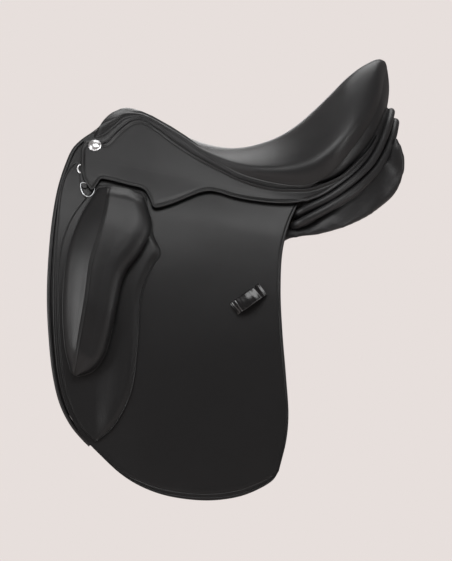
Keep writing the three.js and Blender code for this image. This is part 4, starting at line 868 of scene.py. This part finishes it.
# Its foot follows the crease, and then the lower edge of the tail
def make_skirt_top(name, side):
    turn = 0.68
    crease = straight_line([SKIRT_FRONT[0], TAIL_LOW[0]])
    tail, top, front = curve_line(TAIL_LOW), curve_line(SEAM_LOW), curve_line(SKIRT_FRONT[::-1])
    across = fine_steps(0.46, 150, SKIRT_STEPS, (0.3, 0.8, 1.6))
    along = fine_steps(0.05, 40, SKIRT_STEPS[:3], SKIRT_STEPS[:-1])
    foot = np.where((across < turn)[:, None], crease.at(np.clip(across / turn, 0, 1)),
                    tail.at(np.clip((across - turn) / (1 - turn), 0, 1)))
    rear = Line([top.at(1), foot[-1]])
    v = along[:, None, None]
    front_edge = np.where(v == 1, foot[0], front.at(along)[:, None])
    grid = fill_edges(top.at(across)[None], foot[None], front_edge, rear.at(along)[:, None],
                      [top.at(0), top.at(1), foot[0], foot[-1]], across[None, :, None], v)
    front_line = curve_line(SKIRT_FRONT).points
    edge = np.min([line_distance(grid, line) for line in (front_line, tail.points, top.points)], axis=0)
    obj = skirt_shell(name, side, grid, edge)
    for part, line, centre, highest in (("tail", tail.points, (0.15, -0.2), -RISE),
                                        ("front", front_line, (-0.1, -0.03), -10 * MM)):
        points = inset(line, SKIRT_SEAM, centre, 2.5 * MM)
        points = points[(points[:, 1] < -1 * MM) & (points[:, 1] > highest)]
        if len(points) > 3:
            sew(f"skirt_{part}", side, obj, on_side(side, points, SKIRT_OUT), "saddle")
    return obj


# Seat

# Stations from pommel to cantle: place of the edge, place of the middle, closeness of the edge to the centre line (0
# on it), and how far the section is dished
SEAT_STATIONS = [(-377, -146, -318, -341, 1, 0), (-361, -176, -305, -358, 1, 0), (-329, -248, -291, -366, 1, 0),
                 (-301, -311, -275, -368, 1, 0), (-255, -337, -245, -358, 1, 0), (-222, -320, -222, -344, 1, 0),
                 (-169, -277, -169, -294, 1, 0), (-126, -234, -126, -261, 1, 0), (-89, -184, -89, -241, 1, 0),
                 (-38, -137, -40, -236, 1, 0.15), (14, -96, 10, -252, 1, 0.4), (66, -79, 62, -292, 1, 0.8),
                 (130, -76, 125, -368, 1, 1), (182, -87, 175, -460, 1, 1), (234, -128, 220, -570, 1, 1),
                 (291, -249, 268, -699, 1, 1), (338, -396, 313, -820, 1, 0.9), (377, -537, 350, -905, 1, 0.7),
                 (401, -645, 378, -955, 1, 0.4), (414, -730, 398, -982, 0.93, 0.2), (424, -840, 414, -990, 0.62, 0),
                 (434, -925, 426, -984, 0, 0)]
# Sections of the half seat, as shares of its width and height: rounded, and dished
SEAT_ROUND = [(0, 1), (0.3, 0.975), (0.55, 0.89), (0.76, 0.71), (0.92, 0.43), (1, 0)]
SEAT_DISH = [(0, 0.93), (0.2, 0.96), (0.38, 1), (0.52, 0.95), (0.7, 0.8), (0.86, 0.62), (0.98, 0.45), (1.045, 0.33),
             (1.05, 0.2), (1, 0)]


def edge_point(x, n, close, offset):
    px, pn = places([(x, n)])[0]
    return np.array([px, (float(side_half(px, pn)) + offset) * close, crease_height(px) - pn])


# The seat's sewn edge, at its stations
def seat_edge():
    return [edge_point(x, n, close, SKIRT_OUT) for x, n, _, _, close, _ in SEAT_STATIONS]


# Points of the curve through stations, at their numbers and between them
def span_points(stations, numbers):
    dense = catmull(stations)
    t = numbers * CURVE_SAMPLES
    i = np.clip(t.astype(int), 0, len(dense) - 2)
    return dense[i] + (dense[i + 1] - dense[i]) * (t - i)[:, None]


# A half that runs outwards from the middle, with its mirror image before it
def both_sides(half, axis=0):
    return np.concatenate([np.delete(np.flip(half, axis) * MIRROR, -1, axis), half], axis)


# Shares across the half seat, closer together at its sewn edge
def seat_steps(columns):
    return np.concatenate([np.linspace(0, 0.94, columns - 6), [0.955, 0.968, 0.979, 0.988, 0.995, 1]])


def seat_grid(rows, columns):
    t = np.linspace(0, len(SEAT_STATIONS) - 1, rows)
    edge = span_points(seat_edge(), t)[:, None]
    centre = span_points([edge_point(x, n, 0, 0) for _, _, x, n, _, _ in SEAT_STATIONS], t)[:, None]
    dish = np.interp(t, range(len(SEAT_STATIONS)), [row[5] for row in SEAT_STATIONS])[:, None, None]
    rounded, dished = [Line(catmull(table)).at(seat_steps(columns)) for table in (SEAT_ROUND, SEAT_DISH)]
    share = rounded * (1 - dish) + dished * dish
    share[:, -1] = 1, 0
    across, up = share[..., 0], share[..., 1]
    x = centre[..., 0] + (edge[..., 0] - centre[..., 0]) * across ** 2
    ridge = shade(up, 0.34, 0.22) - shade(0, 0.34, 0.22)
    fullness = np.interp(t, [0, 2, 8, 11], [0, 2, 3, 0])[:, None] * MM
    y = edge[..., 1] * across + fullness * np.maximum(ridge, 0)
    z = edge[..., 2] + (centre[..., 2] - edge[..., 2]) * up
    return both_sides(np.stack([x, y, z], -1), 1)


# Normals of a grid, on the side that looks towards a direction
def grid_normals(grid, towards):
    normal = np.cross(np.gradient(grid, axis=1), np.gradient(grid, axis=0))
    normal = normal / np.maximum(np.linalg.norm(normal, axis=-1, keepdims=True), 1e-12)
    middle = normal[grid.shape[0] // 2, grid.shape[1] // 2]
    return normal * (1 if middle @ np.array(towards) > 0 else -1)


# The padding is thick in the middle and thin at the edge. The cloth is held at both ends and along the edge
def make_seat(name):
    grid = seat_grid(100, 32)
    steps = seat_steps(32)
    columns = np.concatenate([steps[:0:-1], steps])
    depth = (4 + 10 * (1 - columns ** 3)) * MM
    inner = grid - grid_normals(grid, (0, 0, 1)) * depth[:, None]
    for edge in (0, -1):
        inner[:, edge, 2] = np.maximum(inner[:, edge, 2], grid[:, edge, 2])
    rows = np.linspace(0, 1, len(grid))[:, None]
    ends = 1 - smooth(np.minimum(rows, 1 - rows) / 0.3)
    hold = np.maximum(ends, smooth((columns - 0.5) / 0.4))
    # The seam layer paints shade as a dark line along the seat's sewn edge
    obj = shell(name, grid, inner, hold=hold, seam=shade(columns, 1, 0.012))
    puff(obj, take_layer(obj.data, "hold"), 2, 2 * MM)
    return obj


# Strip between the seat's edge and the skirt, from the first stations of the seat to its rear third
def make_welt(name, side):
    across = np.linspace(0, 1, 180)
    top, foot = span_points(seat_edge(), 0.1 + 14.3 * across), curve_line(SEAM_LOW[:17]).at(across)
    top_n = crease_height(top[:, 0]) - top[:, 2] - 2.5 * MM
    foot_n = foot[:, 1] + 0.4 * MM
    v = np.linspace(0, 1, 17)[:, None]
    x = top[:, 0] * (1 - v) + foot[:, 0] * v
    n = top_n * (1 - v) + foot_n * v
    width = foot_n - top_n
    upper, lower = v * width, (1 - v) * width
    bulge = 2.2 * MM * np.sqrt(np.clip(1 - (2 * v - 1) ** 2, 0, 1)) - 1.3 * MM
    # The seam layer holds painted shade in the upper and lower sewn grooves
    relief, seam = sewn([(upper, WELT_UPPER_SEAM, 0.6, 0.5, 0.8), (lower, WELT_LOWER_SEAM, 0.6, 0.5, 0.8)], 0.7)
    obj = side_shell(name, side, x, n, SKIRT_OUT + bulge + relief, SKIRT_OUT - 2.4 * MM, seam=seam)
    for part, share in (("upper", WELT_UPPER_SEAM / width), ("lower", 1 - WELT_LOWER_SEAM / width)):
        share = np.clip(share, 0.3, 0.9)
        px, pn = [(rows[0] * (1 - share) + rows[-1] * share)[6:-14] for rows in (x, n)]
        sew(f"welt_{part}", side, obj, side_point(side, px, pn, SKIRT_OUT + 1 * MM), "saddle",
            pitch=3 * MM, length=2.2 * MM, radius=0.38 * MM)
    return obj


# The n of a line of the side view at x
def line_at(rows, x):
    return np.interp(x, *np.array(places(rows)).T)


LINING_FRONT = [(-416, -100), (-386, -160), (-340, -262)]


# Dark lining inside the seat's edge
def make_lining(name, side):
    x = np.linspace(-0.413, 0.408, 160) * LENGTH
    edge = line_at([row[:2] for row in SEAT_STATIONS], x) - 6 * MM
    top = np.where(x > places(LINING_FRONT)[-1][0], edge, line_at(LINING_FRONT, x))
    low = line_at(SEAM_LOW, x) + 6 * MM
    v = np.linspace(0, 1, 7)[:, None]
    n = top * (1 - v) + np.minimum(low, -1 * MM) * v
    out = SKIRT_IN - 1 * MM - 12 * MM * smooth((x / LENGTH - 0.2) / 0.1)
    return side_shell(name, side, x, n, out, out - 1.2 * MM)


# Lines of the rear and the front: place in the side view, and closeness to the centre line
BACKING_TOP = [(432, -700, 0), (424, -650, 0.62), (412, -575, 0.93), (397, -500, 1), (372, -400, 1), (326, -260, 1),
               (262, -120, 1), (200, -20, 0.97), (180, 10, 0.9)]
BACKING_FOOT = [(452, -575, 0), (449, -530, 0.78), (444, -475, 1.02), (428, -360, 1), (397, -225, 1), (349, -95, 1),
                (279, 20, 1), (200, 80, 0.97), (172, 100, 0.87)]


# Backing behind the rear rolls
def make_backing(name):
    rows = ((BACKING_TOP, SKIRT_IN - 2.5 * MM), (ROLL_UPPER, SKIRT_IN - 5 * MM), (ROLL_LOWER, SKIRT_IN - 5 * MM),
            (BACKING_FOOT, 5 * MM))
    grid = np.stack([roll_path(line, offset) for line, offset in rows])
    return shell(name, grid, grid - grid_normals(grid, (1, 0, 0)) * 1.5 * MM)


CANTLE_LOW = [(222, -100, 1), (262, -140, 1), (303, -200, 1), (350, -310, 1), (376, -400, 1), (397, -480, 1),
              (412, -555, 0.95), (424, -630, 0.62), (432, -678, 0)]
CANTLE_SEAM = [(220, -116, 1), (255, -165, 1), (291, -249, 1), (338, -396, 1), (377, -537, 1), (401, -645, 1),
               (414, -730, 0.93), (424, -840, 0.62), (434, -925, 0)]


def make_cantle_back(name):
    t = np.linspace(0, len(CANTLE_LOW) - 1, 72)
    seam = span_points([edge_point(*row, SKIRT_OUT - 1.4 * MM) for row in CANTLE_SEAM], t)
    low = span_points([edge_point(*row, 0) for row in CANTLE_LOW], t)
    v = np.linspace(0, 1, 17)
    half = seam[:, None] * (1 - v[:, None]) + low[:, None] * v[:, None]
    half[..., 2] += 2.5 * MM * (1 - v)
    half[..., 0] += 3.2 * MM * np.sin(np.pi * v)
    half[..., 1] += 3 * MM * np.sin(np.pi * v) * smooth(half[..., 1] / (30 * MM))
    grid = both_sides(half[::-1])
    return shell(name, grid, grid - grid_normals(grid, (1, 0, 0)) * 3 * MM)


ROLL_UPPER = [(444, -671, 0), (440.5, -630, 0.72), (433, -562, 1), (415, -450, 1), (386, -323, 1), (335, -187, 1),
              (271, -52, 1), (200, 30, 0.97), (178, 50, 0.88)]
ROLL_LOWER = [(455, -610, 0), (452, -568, 0.8), (447, -515, 1.08), (430, -407, 1.04), (397, -273, 1.02),
              (349, -144, 1.02), (279, -5, 1.02), (200, 63, 0.99), (172, 85, 0.89)]
FRONT_ROLL = [(-336, -272, 0), (-343, -256, 0.35), (-357, -225, 0.7), (-386, -160, 0.95), (-416, -100, 1),
              (-440, -35, 1), (-459, 32, 1), (-480, 108, 1), (-495, 200, 1), (-505, 304, 1), (-511, 436, 1),
              (-508, 553, 1), (-495, 695, 1), (-475, 781, 1), (-446, 838, 1), (-415, 873, 1), (-396, 890, 1)]


FRONT_ROLL_OFFSET = 1.5 * MM


def roll_path(rows, offset):
    return catmull(both_sides(np.array([edge_point(*row, offset) for row in rows])), samples=12)


def make_roll(name, rows, radius, offset, sides=16):
    return bead(name, Line(roll_path(rows, offset)).at(np.linspace(0, 1, 220)), radius, sides)


PANEL_TOP = [(-455, 90), (-430, 100), (-390, 150), (-240, 155), (-130, 150), (-30, 60), (80, 45), (145, 100),
             (195, 85), (270, 0), (360, -150), (425, -385), (445, -480), (455, -550)]
PANEL_FOOT = [(-455, 320), (-390, 440), (-240, 450), (-130, 420), (-30, 360), (80, 230), (130, 160), (165, 124),
              (204, 113), (246, 96), (288, 75), (330, 50), (372, 19), (408, -30), (439, -107)]
PANEL_FRONT = [(-455, 90), (-462, 180), (-455, 320)]
PANEL_REAR = [(455, -550), (469, -499), (479, -447), (484, -386), (483, -323), (476, -257), (461, -180), (439, -107)]
# Place along the panel, outset of its outer face, then width and depth of its inner face's top and foot
PANEL_DEPTHS = [(-462, -30, 290, 130, 450, 250), (-390, -20, 180, 60, 450, 450), (-240, -20, 165, 50, 420, 410),
                (-130, -20, 160, 30, 300, 280), (-30, -20, 160, 10, 180, 150), (145, -12, 160, -50, 170, 100),
                (195, 30, 160, -70, 170, 80), (270, 50, 160, -110, 170, 50), (360, 55, 160, -250, 170, 0),
                (425, 100, 165, -360, 175, -110), (460, 210, 190, -450, 185, -200), (484, 300, 200, -400, 190, -260)]


# Stuffed panel: its block of wool rounded, then swollen as cloth
def make_panel(name, side):
    lines = [curve_line(edge) for edge in (PANEL_TOP, PANEL_FOOT, PANEL_FRONT, PANEL_REAR)]
    along = np.linspace(0, 1, 20)
    grid = patch(*lines, np.linspace(0, 1, 110), along)
    x, n = grid[..., 0], grid[..., 1]
    v = along[:, None]
    table = np.array(PANEL_DEPTHS).T / 1000
    outset, top_y, top_n, low_y, low_n = [np.interp(x / LENGTH, table[0], row) for row in table[1:]]
    deep_y = (top_y * (1 - v) + low_y * v) * HALF_WIDTH
    deep_n = down(top_n) * (1 - v) + down(low_n) * v
    rim = smooth((x / LENGTH - 0.4) / 0.06)
    deep_n = deep_n * (1 - rim) + n * rim
    wide = side_half(x, n) + outset * HALF_WIDTH * (0.4 + 0.6 * smooth(v / 0.4))
    wide = np.maximum(wide, deep_y + 14 * MM)
    z = crease_height(x)
    obj = shell(name, np.stack([x, side * wide, z - n], -1), np.stack([x, side * deep_y, z - deep_n], -1))
    even = obj.modifiers.new("even", "REMESH")
    even.mode, even.voxel_size = "VOXEL", 5 * MM
    soft = obj.modifiers.new("soft", "SMOOTH")
    soft.factor, soft.iterations = 0.5, 14
    apply_modifiers(obj)
    co = point_array(obj.data)
    below = crease_height(co[:, 0]) - co[:, 2] - np.interp(co[:, 0], *lines[0].points.T)
    puff(obj, 1 - smooth(below / (20 * MM)), 30, 4 * MM)
    obj.data.polygons.foreach_set("use_smooth", [True] * len(obj.data.polygons))
    return obj


# Leather between the front roll and the seat's front edge
def make_facing(name):
    roll = Line(catmull([edge_point(*row, FRONT_ROLL_OFFSET) for row in FRONT_ROLL[:5]]))
    top = Line(seat_grid(120, 36)[0, 35:])
    share = np.linspace(0, 1, 30)
    a, b = top.at(share), roll.at(share * 0.96)
    grid = both_sides(np.stack([a * (1 - v) + b * v for v in np.linspace(0, 1, 9)], 1))
    return shell(name, grid, grid - grid_normals(grid, (-1, 0, 0)) * 2 * MM)


# Fittings

NAIL_PLACE = (-383, -85)
NAIL_PROFILE = [(0, 0), (9.6, 0), (9.7, 0.5), (9.5, 1.1), (9.0, 1.5), (8.3, 1.55), (7.9, 1.7), (7.4, 2.3),
                (6.3, 3.1), (4.9, 3.8), (3.2, 4.3), (1.5, 4.48), (0, 4.5)]
DEE_X, DEE_TOP = -0.419 * LENGTH, 0.062 * DROP + 8 * MM
DEE_OUTLINE = [(-0.8, 0), (0.8, 0), (1, 0.12), (0.92, 0.5), (0.5, 0.88), (0, 1), (-0.5, 0.88), (-0.92, 0.5),
               (-1, 0.12)]
STAPLE_X, STAPLE_N = -0.219, 18.3 * MM
KEEPER_ENDS = [(5, 379.5), (86, 298.5)]
KEEPER_HALF = 9.5 * MM
KEEPER_RISE = [(0, 0), (0.05, 0.1), (0.2, 0.8), (0.35, 1), (0.5, 1.05), (0.65, 1), (0.8, 0.8), (0.95, 0.1), (1, 0)]


# Plain dome with a flat rim, turned about the surface's normal
def make_nail(name, side):
    x, n = places([NAIL_PLACE])[0]
    normal = surface_normals(side, np.array(x), np.array(n))
    centre = side_point(side, x, n, SKIRT_OUT) + normal * 0.3 * MM
    e1 = np.cross(normal, [0, 0, 1.0])
    e1 /= np.linalg.norm(e1)
    e2 = np.cross(normal, e1)
    sides = 48
    angle = np.arange(sides)[:, None] / sides * 2 * np.pi
    ring = e1 * np.cos(angle) + e2 * np.sin(angle)
    verts = np.concatenate([centre + (ring * r + normal * h) * MM for r, h in NAIL_PROFILE])
    return new_object(name, verts, grid_faces(len(NAIL_PROFILE), sides, closed=True))


def make_dee(name, side):
    s, t = np.array(DEE_OUTLINE).T
    points = side_point(side, DEE_X + (8 + 10 * s) * MM, DEE_TOP + 2 * GAP + 18.5 * MM * t, OVERLAY_IN + 1.5 * MM)
    path = Line(catmull(points, closed=True)).at(np.arange(96) / 96)
    return bead(name, path, 1.25 * MM, 14, closed=True)


# Bow of wire that holds the dee's chape
def make_staple(name, side):
    turn = np.linspace(-1.5, 1.5, 24)
    x, n = STAPLE_X - 4.8 * MM * np.cos(turn), STAPLE_N + 5.8 * MM * np.sin(turn)
    return bead(name, side_point(side, x, n, OVERLAY_IN + 1.6 * MM), 1.2 * MM, 12)


def make_chape(name, side):
    s = np.array([-1, -0.97, -0.9, -0.75, -0.45, 0, 0.45, 0.75, 0.9, 0.97, 1])
    n = np.concatenate([np.linspace(0.03 * DROP, DEE_TOP, 12), DEE_TOP + np.array([2, 4, 6, 7, 7.6, 8]) * MM])[:, None]
    half = 6.5 * MM * np.sqrt(np.clip(1 - np.clip((n - DEE_TOP) / (8.2 * MM), 0, 1) ** 2, 0, 1))
    grid = np.stack(np.broadcast_arrays(DEE_X + 3 * MM + s * half, n), -1)
    return side_sheet(name, side, grid, OVERLAY_IN, OVERLAY_IN + 2.2 * MM, rim=1 * MM, lift=flat)


# Slanted loop for the stirrup leather, with painted shade along a sewn line and at its tucked ends, and a glossy rim
def make_keeper(name, side):
    front, rear = np.array(places(KEEPER_ENDS))
    length = np.linalg.norm(rear - front)
    ux, un = (rear - front) / length
    t = np.linspace(0, 1, 61)[:, None]
    s = np.concatenate([[-1, -0.985, -0.95, -0.88], np.linspace(-0.8, 0.8, 13), [0.88, 0.95, 0.985, 1]])
    x = front[0] + ux * length * t - un * s * KEEPER_HALF
    n = front[1] + un * length * t + ux * s * KEEPER_HALF
    rise = FLAP_OUT + GAP + table_value(KEEPER_RISE, t) * 8.5 * MM
    middle = rise + swell(x, n) + 1.2 * MM + 1.4 * MM * s
    half = 1.2 * MM * rim_round((1 - np.abs(s)) * KEEPER_HALF, 1.1 * MM)
    # Painted shade: the ends darken where the loop meets the flap, and a dark line stands for the sewn line's groove
    seam = np.maximum(smooth((np.abs(t - 0.5) - 0.34) / 0.1), 0.8 * shade(s, -0.62, 0.06))
    obj = side_shell(name, side, x, n, middle + half + 1.5 * MM * (1 - s ** 2), middle - half, seam=seam)
    rim = (slice(8, -8), 17)
    path = side_point(side, x[rim], n[rim], (middle + half)[rim] + 0.4 * MM)
    piping("keeper_rim", side, path, 1.1 * MM, "gloss", "flap")
    return obj


# The whole saddle

seat = add_piece(make_seat("seat_cover"), "seat", "saddle", ["seat"])
add_piece(make_cantle_back("cantle_cover"), "side", "saddle", ["cantle_back"])
add_piece(make_roll("roll_upper", ROLL_UPPER, 6 * MM, SKIRT_IN), "panel", "saddle", ["rear_roll_upper"])
add_piece(make_roll("roll_lower", ROLL_LOWER, 6.6 * MM, SKIRT_IN), "panel", "saddle", ["rear_roll_lower"])
add_piece(make_roll("roll_front", FRONT_ROLL, 3.4 * MM, FRONT_ROLL_OFFSET, 14), "side", "saddle", ["front_roll"])
add_piece(make_facing("facing"), "flap", "saddle", ["pommel_facing"])
add_piece(make_backing("roll_backing"), "edge", "saddle")

# Pieces of each side: name, maker, look, body and the CAD node that each stands for
SIDE_PIECES = [
    ("panel_cushion", make_panel, "panel", "saddle", "panel"),
    ("under_flap", make_sweat_flap, "flap", "saddle", "sweat_flap"),
    ("flap_sheet", make_flap, "flap", "flap", "flap"),
    ("overlay_sheet", make_overlay, "flap", "flap", "overlay"),
    ("block_cushion", make_block, "side", "flap", "thigh_block"),
    ("skirt_sheet", make_skirt, "side", "skirt", "skirt"),
    ("skirt_upper", make_skirt_top, "side", "saddle", "skirt_top"),
    ("welt", make_welt, "side", "saddle", "seat_welt"),
    ("nail_dome", make_nail, "polished", "saddle", "nail_head"),
    ("dee_wire", make_dee, "ring", "dee", "dee_ring"),
    ("staple", make_staple, "polished", "flap", None),
    ("lining", make_lining, "edge", "saddle", None),
    ("chape", make_chape, "side", "flap", "dee_chape"),
    ("keeper_loop", make_keeper, "gloss", "flap", "keeper"),
]

for side, label in LABELS.items():
    for name, maker, look, body, node in SIDE_PIECES:
        nodes = [f"{node}_{label}"] if node else []
        piece = add_piece(maker(f"{name}_{label}", side), look, side_body(body, side), nodes)

# Camera, light and ground. The photo is seen square from the left side, without perspective

scene = bpy.context.scene
camera_data = bpy.data.cameras.new("camera")
camera = bpy.data.objects.new("camera", camera_data)
scene.collection.objects.link(camera)
camera_data.type = "ORTHO"
camera_data.sensor_fit = "VERTICAL"
camera_data.ortho_scale = 0.81345
camera.location = (-0.0087, -3.0, -0.0616)
camera.rotation_euler = (math.radians(90), 0, 0)
scene.camera = camera


# Area lights, all aimed at the middle of the saddle: name, place, width, height and power
LIGHTS = [("top", (0.0, -1.2, 1.3), 1.3, 0.8, 12.5), ("left", (-2.0, -0.8, 0.4), 0.9, 0.9, 17),
          ("right", (1.1, -1.2, 1.1), 0.6, 0.6, 3), ("low", (1.9, -0.9, 0.2), 0.4, 0.4, 5),
          ("back", (0.2, 0.9, 1.7), 1.4, 1.4, 15), ("far", (-0.2, 2.0, 0.35), 0.8, 0.8, 6)]
for name, location, width, height, power in LIGHTS:
    data = bpy.data.lights.new(name, "AREA")
    data.shape = "RECTANGLE"
    data.size, data.size_y, data.energy = width, height, power
    obj = bpy.data.objects.new(name, data)
    scene.collection.objects.link(obj)
    obj.location = location
    obj.rotation_euler = (-Vector(location)).to_track_quat("-Z", "Y").to_euler()

PALE = (*tone(231, 223, 220), 1)


# The share of a bright background: full for the camera and through glass, small in reflections
def bright_share(tree):
    rays = add_node(tree, "LightPath", {}).outputs
    reflected = math_node(tree, "MULTIPLY_ADD", rays["Is Glossy Ray"], 0.06, rays["Is Transmission Ray"])
    total = add_node(tree, "Math", {0: rays["Is Camera Ray"], 1: reflected}, operation="ADD", use_clamp=True)
    return total.outputs["Value"]


def mix_shaders(tree, share, plain, bright, output):
    mixer = add_node(tree, "MixShader", {"Fac": share, 1: plain, 2: bright})
    plug(tree, tree.nodes[output], {"Surface": mixer.outputs["Shader"]})


world = bpy.data.worlds.new("studio")
scene.world = world
world.use_nodes = True
tree = world.node_tree
plain = plug(tree, tree.nodes["Background"], {"Color": PALE, "Strength": 0.16})
bright = add_node(tree, "Background", {"Color": PALE, "Strength": 1.0})
mix_shaders(tree, bright_share(tree), plain.outputs["Background"], bright.outputs["Background"], "World Output")

# The floor keeps the shadow near the saddle and runs out into the background
FLOOR_REACH, FLOOR_HEIGHT = 3, -0.475
corners = [(x * FLOOR_REACH, y * FLOOR_REACH, FLOOR_HEIGHT) for x, y in ((-1, -1), (1, -1), (1, 1), (-1, 1))]
floor = new_object("floor", corners, [(0, 1, 2, 3)])
floor_look, tree = start_material("floor_look")
plug_material(floor_look, {"Base Color": PALE, "Roughness": 0.9})
place = add_node(tree, "NewGeometry", {}).outputs["Position"]
reach = add_node(tree, "VectorMath", {0: place}, operation="LENGTH").outputs["Value"]
fade = add_node(tree, "MapRange", {"Value": reach, "From Min": 0.5, "From Max": 1.7, "To Min": 0.25, "To Max": 1.0},
                interpolation_type="SMOOTHSTEP").outputs["Result"]
glow = add_node(tree, "Emission", {"Color": PALE}).outputs["Emission"]
shown = math_node(tree, "MULTIPLY", fade, bright_share(tree))
mix_shaders(tree, shown, tree.nodes["Principled BSDF"].outputs["BSDF"], glow, "Material Output")
floor.data.materials.append(floor_look)

scene.view_settings.view_transform = "Standard"
